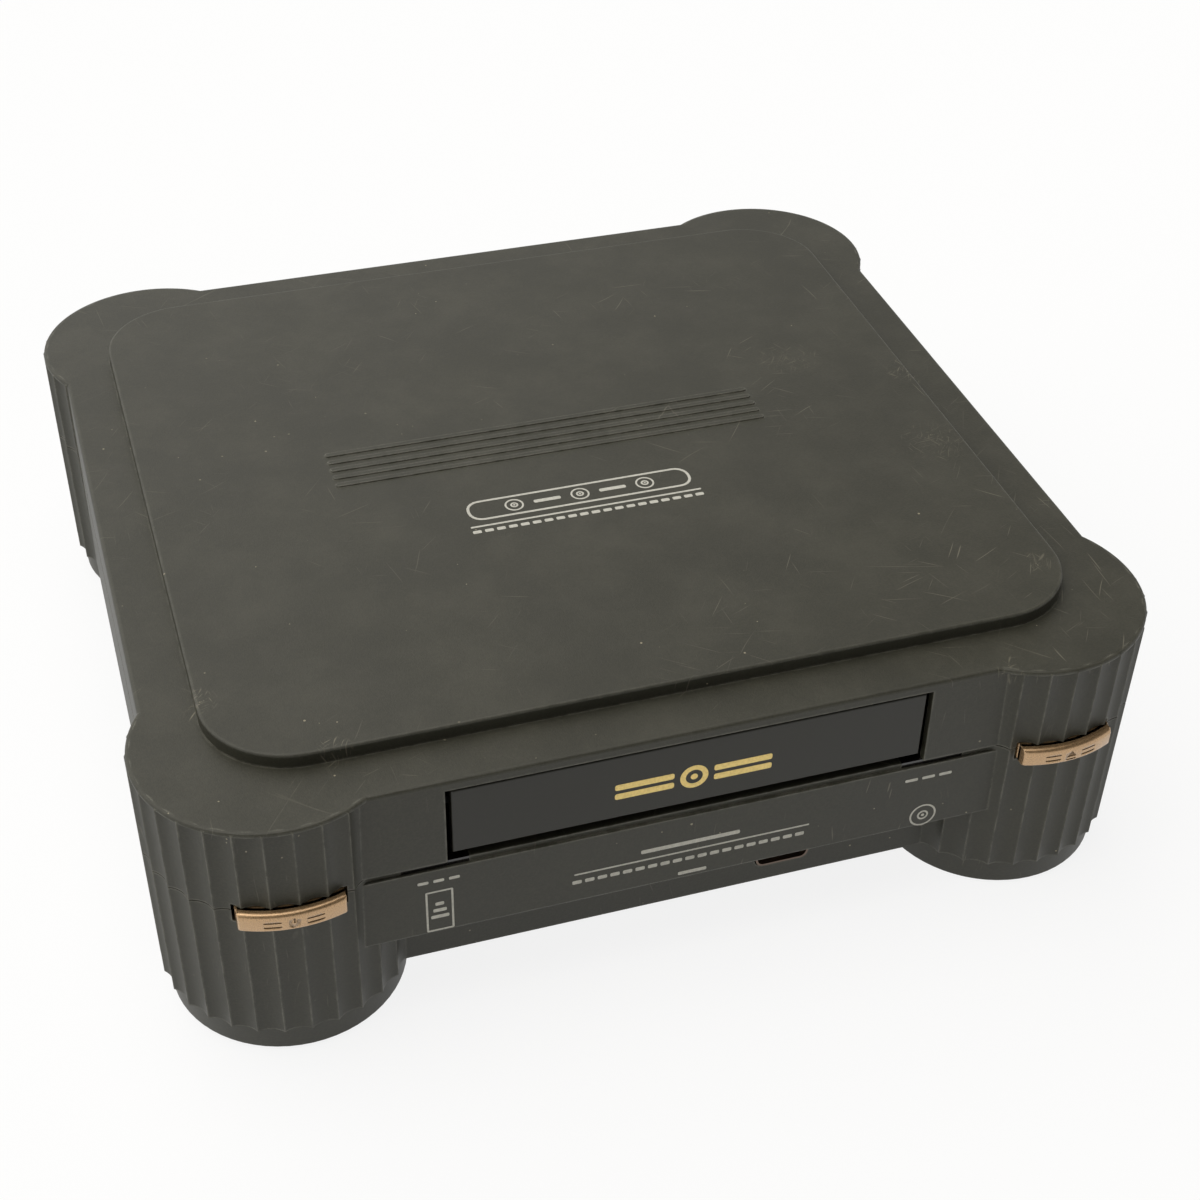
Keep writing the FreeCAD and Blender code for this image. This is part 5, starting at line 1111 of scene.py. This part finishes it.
def make_floor(settings):
    """A wide pale floor, shown to the viewer almost plain white, so that only a faint shadow is left."""
    deselect_all()
    bpy.ops.mesh.primitive_plane_add(size=FLOOR_SIZE, location=(0, 0, 0))
    floor = bpy.context.object
    floor.name = "floor"
    tree = shader("floor_paper")
    tooth = tree.noise(1.5 * MM)
    tree.look(Base_Color=tree.varied(tooth, settings.floor_colour, 0.995, 1.0), Roughness=0.85,
              Specular_IOR_Level=0.1)
    white = tree.add("ShaderNodeEmission", {"Strength": 1.0})
    blend = tree.add("ShaderNodeMixShader", {0: tree.times(tree.seen(), WHITE_SHARE),
                                             1: tree.surface.outputs[0], 2: white.outputs[0]})
    tree.feed(tree.output.inputs["Surface"], blend.outputs[0])
    dress(floor, "floor_paper")


def make_room(settings):
    """A room that is bright behind and to the left of the console, and dark on the viewer's side."""
    world = bpy.data.worlds.new("room")
    world.use_nodes = True
    world.node_tree.nodes.clear()
    tree = Tree(world.node_tree)
    way = tree.add("ShaderNodeTexCoord").outputs["Generated"]
    bright = tree.band(tree.vectors("DOT_PRODUCT", way, WINDOW_SIDE)["Value"], 0.25, 0.75)
    window_colour = (*(settings.sky_light * channel for channel in WINDOW_TINT), 1.0)
    colour = tree.mix(bright, VIEWER_SIDE_COLOUR, window_colour)
    low = tree.band(tree.axes(way)[2], 0.42, 0.30)
    colour = tree.mix(tree.times(tree.seen(), low), colour, WHITE)
    background = tree.add("ShaderNodeBackground", {"Color": colour, "Strength": 1.0})
    tree.add("ShaderNodeOutputWorld", {"Surface": background.outputs[0]})
    bpy.context.scene.world = world


def make_lamp(settings):
    """One broad soft lamp, almost straight above the console."""
    data = bpy.data.lights.new("overhead", "SUN")
    data.energy = settings.lamp_light
    data.angle = LAMP_ANGLE
    data.color = LAMP_COLOUR
    lamp = bpy.data.objects.new("overhead", data)
    lamp.rotation_euler = Vector(LAMP_SIDE).to_track_quat("Z", "Y").to_euler()
    bpy.context.scene.collection.objects.link(lamp)


# Operators

class CONSOLE_OT_finishes(bpy.types.Operator):
    """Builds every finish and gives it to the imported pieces"""

    bl_idname = "console.finishes"
    bl_label = "Finishes"

    def execute(self, context):
        for build in EFFECTS:
            build()
        build_materials(context.scene.console_finish)
        for row in frame["record"]["subparts"]:
            dress(frame["nodes"][row["node"]], row["material_slot"])
        dress(frame["nodes"]["controller_shell"], "dull_tin")
        return {"FINISHED"}


class CONSOLE_OT_buttons(bpy.types.Operator):
    """Makes the two bronze buttons, with their symbols cut in"""

    bl_idname = "console.buttons"
    bl_label = "Buttons"

    def execute(self, context):
        marks = context.scene.console_marks
        button_piece("power_button", -1, power_symbol, marks)
        button_piece("eject_button", 1, eject_symbol, marks)
        return {"FINISHED"}


class CONSOLE_OT_springs(bpy.types.Operator):
    """Makes the two return springs of the buttons"""

    bl_idname = "console.springs"
    bl_label = "Springs"

    def execute(self, context):
        make_spring("power_spring")
        make_spring("eject_spring")
        return {"FINISHED"}


class CONSOLE_OT_pillar_rims(bpy.types.Operator):
    """Rounds off the top of the four fluted pillars"""

    bl_idname = "console.pillar_rims"
    bl_label = "Pillar rims"

    def execute(self, context):
        make_pillar_rims()
        return {"FINISHED"}


class CONSOLE_OT_door_mark(bpy.types.Operator):
    """Lays the gold foil mark on the tray's door"""

    bl_idname = "console.door_mark"
    bl_label = "Door mark"

    def execute(self, context):
        make_door_mark(context.scene.console_marks)
        return {"FINISHED"}


class CONSOLE_OT_front_marks(bpy.types.Operator):
    """Prints the grey marks on the front strip and raises the one on the chin"""

    bl_idname = "console.front_marks"
    bl_label = "Front marks"

    def execute(self, context):
        make_strip_marks(context.scene.console_marks)
        make_lens_marks(context.scene.console_marks)
        make_chin_mark()
        return {"FINISHED"}


class CONSOLE_OT_rear_marks(bpy.types.Operator):
    """Prints the grey marks on the back panel"""

    bl_idname = "console.rear_marks"
    bl_label = "Rear marks"

    def execute(self, context):
        make_rear_marks(context.scene.console_marks)
        return {"FINISHED"}


class CONSOLE_OT_top_marks(bpy.types.Operator):
    """Prints the grey marks on the raised top"""

    bl_idname = "console.top_marks"
    bl_label = "Top marks"

    def execute(self, context):
        make_top_marks(context.scene.console_marks)
        return {"FINISHED"}


class CONSOLE_OT_stage(bpy.types.Operator):
    """Sets up the floor, the light and the camera"""

    bl_idname = "console.stage"
    bl_label = "Stage"

    def execute(self, context):
        settings = context.scene.console_stage
        make_floor(settings)
        make_room(settings)
        make_lamp(settings)
        make_camera()
        context.scene.view_settings.view_transform = "Standard"
        return {"FINISHED"}


OPERATORS = (CONSOLE_OT_finishes, CONSOLE_OT_buttons, CONSOLE_OT_springs, CONSOLE_OT_pillar_rims,
             CONSOLE_OT_door_mark, CONSOLE_OT_front_marks, CONSOLE_OT_rear_marks, CONSOLE_OT_top_marks,
             CONSOLE_OT_stage)


class CONSOLE_PT_panel(bpy.types.Panel):
    """Lists the steps and settings of the console"""

    bl_idname = "CONSOLE_PT_panel"
    bl_label = "Disc console"
    bl_space_type = "VIEW_3D"
    bl_region_type = "UI"
    bl_category = "Console"

    def draw(self, context):
        scene = context.scene
        for settings in (scene.console_finish, scene.console_marks, scene.console_stage):
            box = self.layout.box()
            for name in settings.__annotations__:
                box.prop(settings, name)
        for operator in OPERATORS:
            self.layout.operator(operator.bl_idname)


CLASSES = (ConsoleFinishSettings, ConsoleMarkSettings, ConsoleStageSettings, *OPERATORS, CONSOLE_PT_panel)


def register():
    for each in CLASSES:
        bpy.utils.register_class(each)
    bpy.types.Scene.console_finish = PointerProperty(type=ConsoleFinishSettings)
    bpy.types.Scene.console_marks = PointerProperty(type=ConsoleMarkSettings)
    bpy.types.Scene.console_stage = PointerProperty(type=ConsoleStageSettings)


def unregister():
    del bpy.types.Scene.console_stage
    del bpy.types.Scene.console_marks
    del bpy.types.Scene.console_finish
    for each in reversed(CLASSES):
        bpy.utils.unregister_class(each)


def main():
    register()
    bpy.ops.console.finishes()
    bpy.ops.console.buttons()
    bpy.ops.console.springs()
    bpy.ops.console.pillar_rims()
    bpy.ops.console.door_mark()
    bpy.ops.console.front_marks()
    bpy.ops.console.rear_marks()
    bpy.ops.console.top_marks()
    bpy.ops.console.stage()


if __name__ == "__main__":
    main()
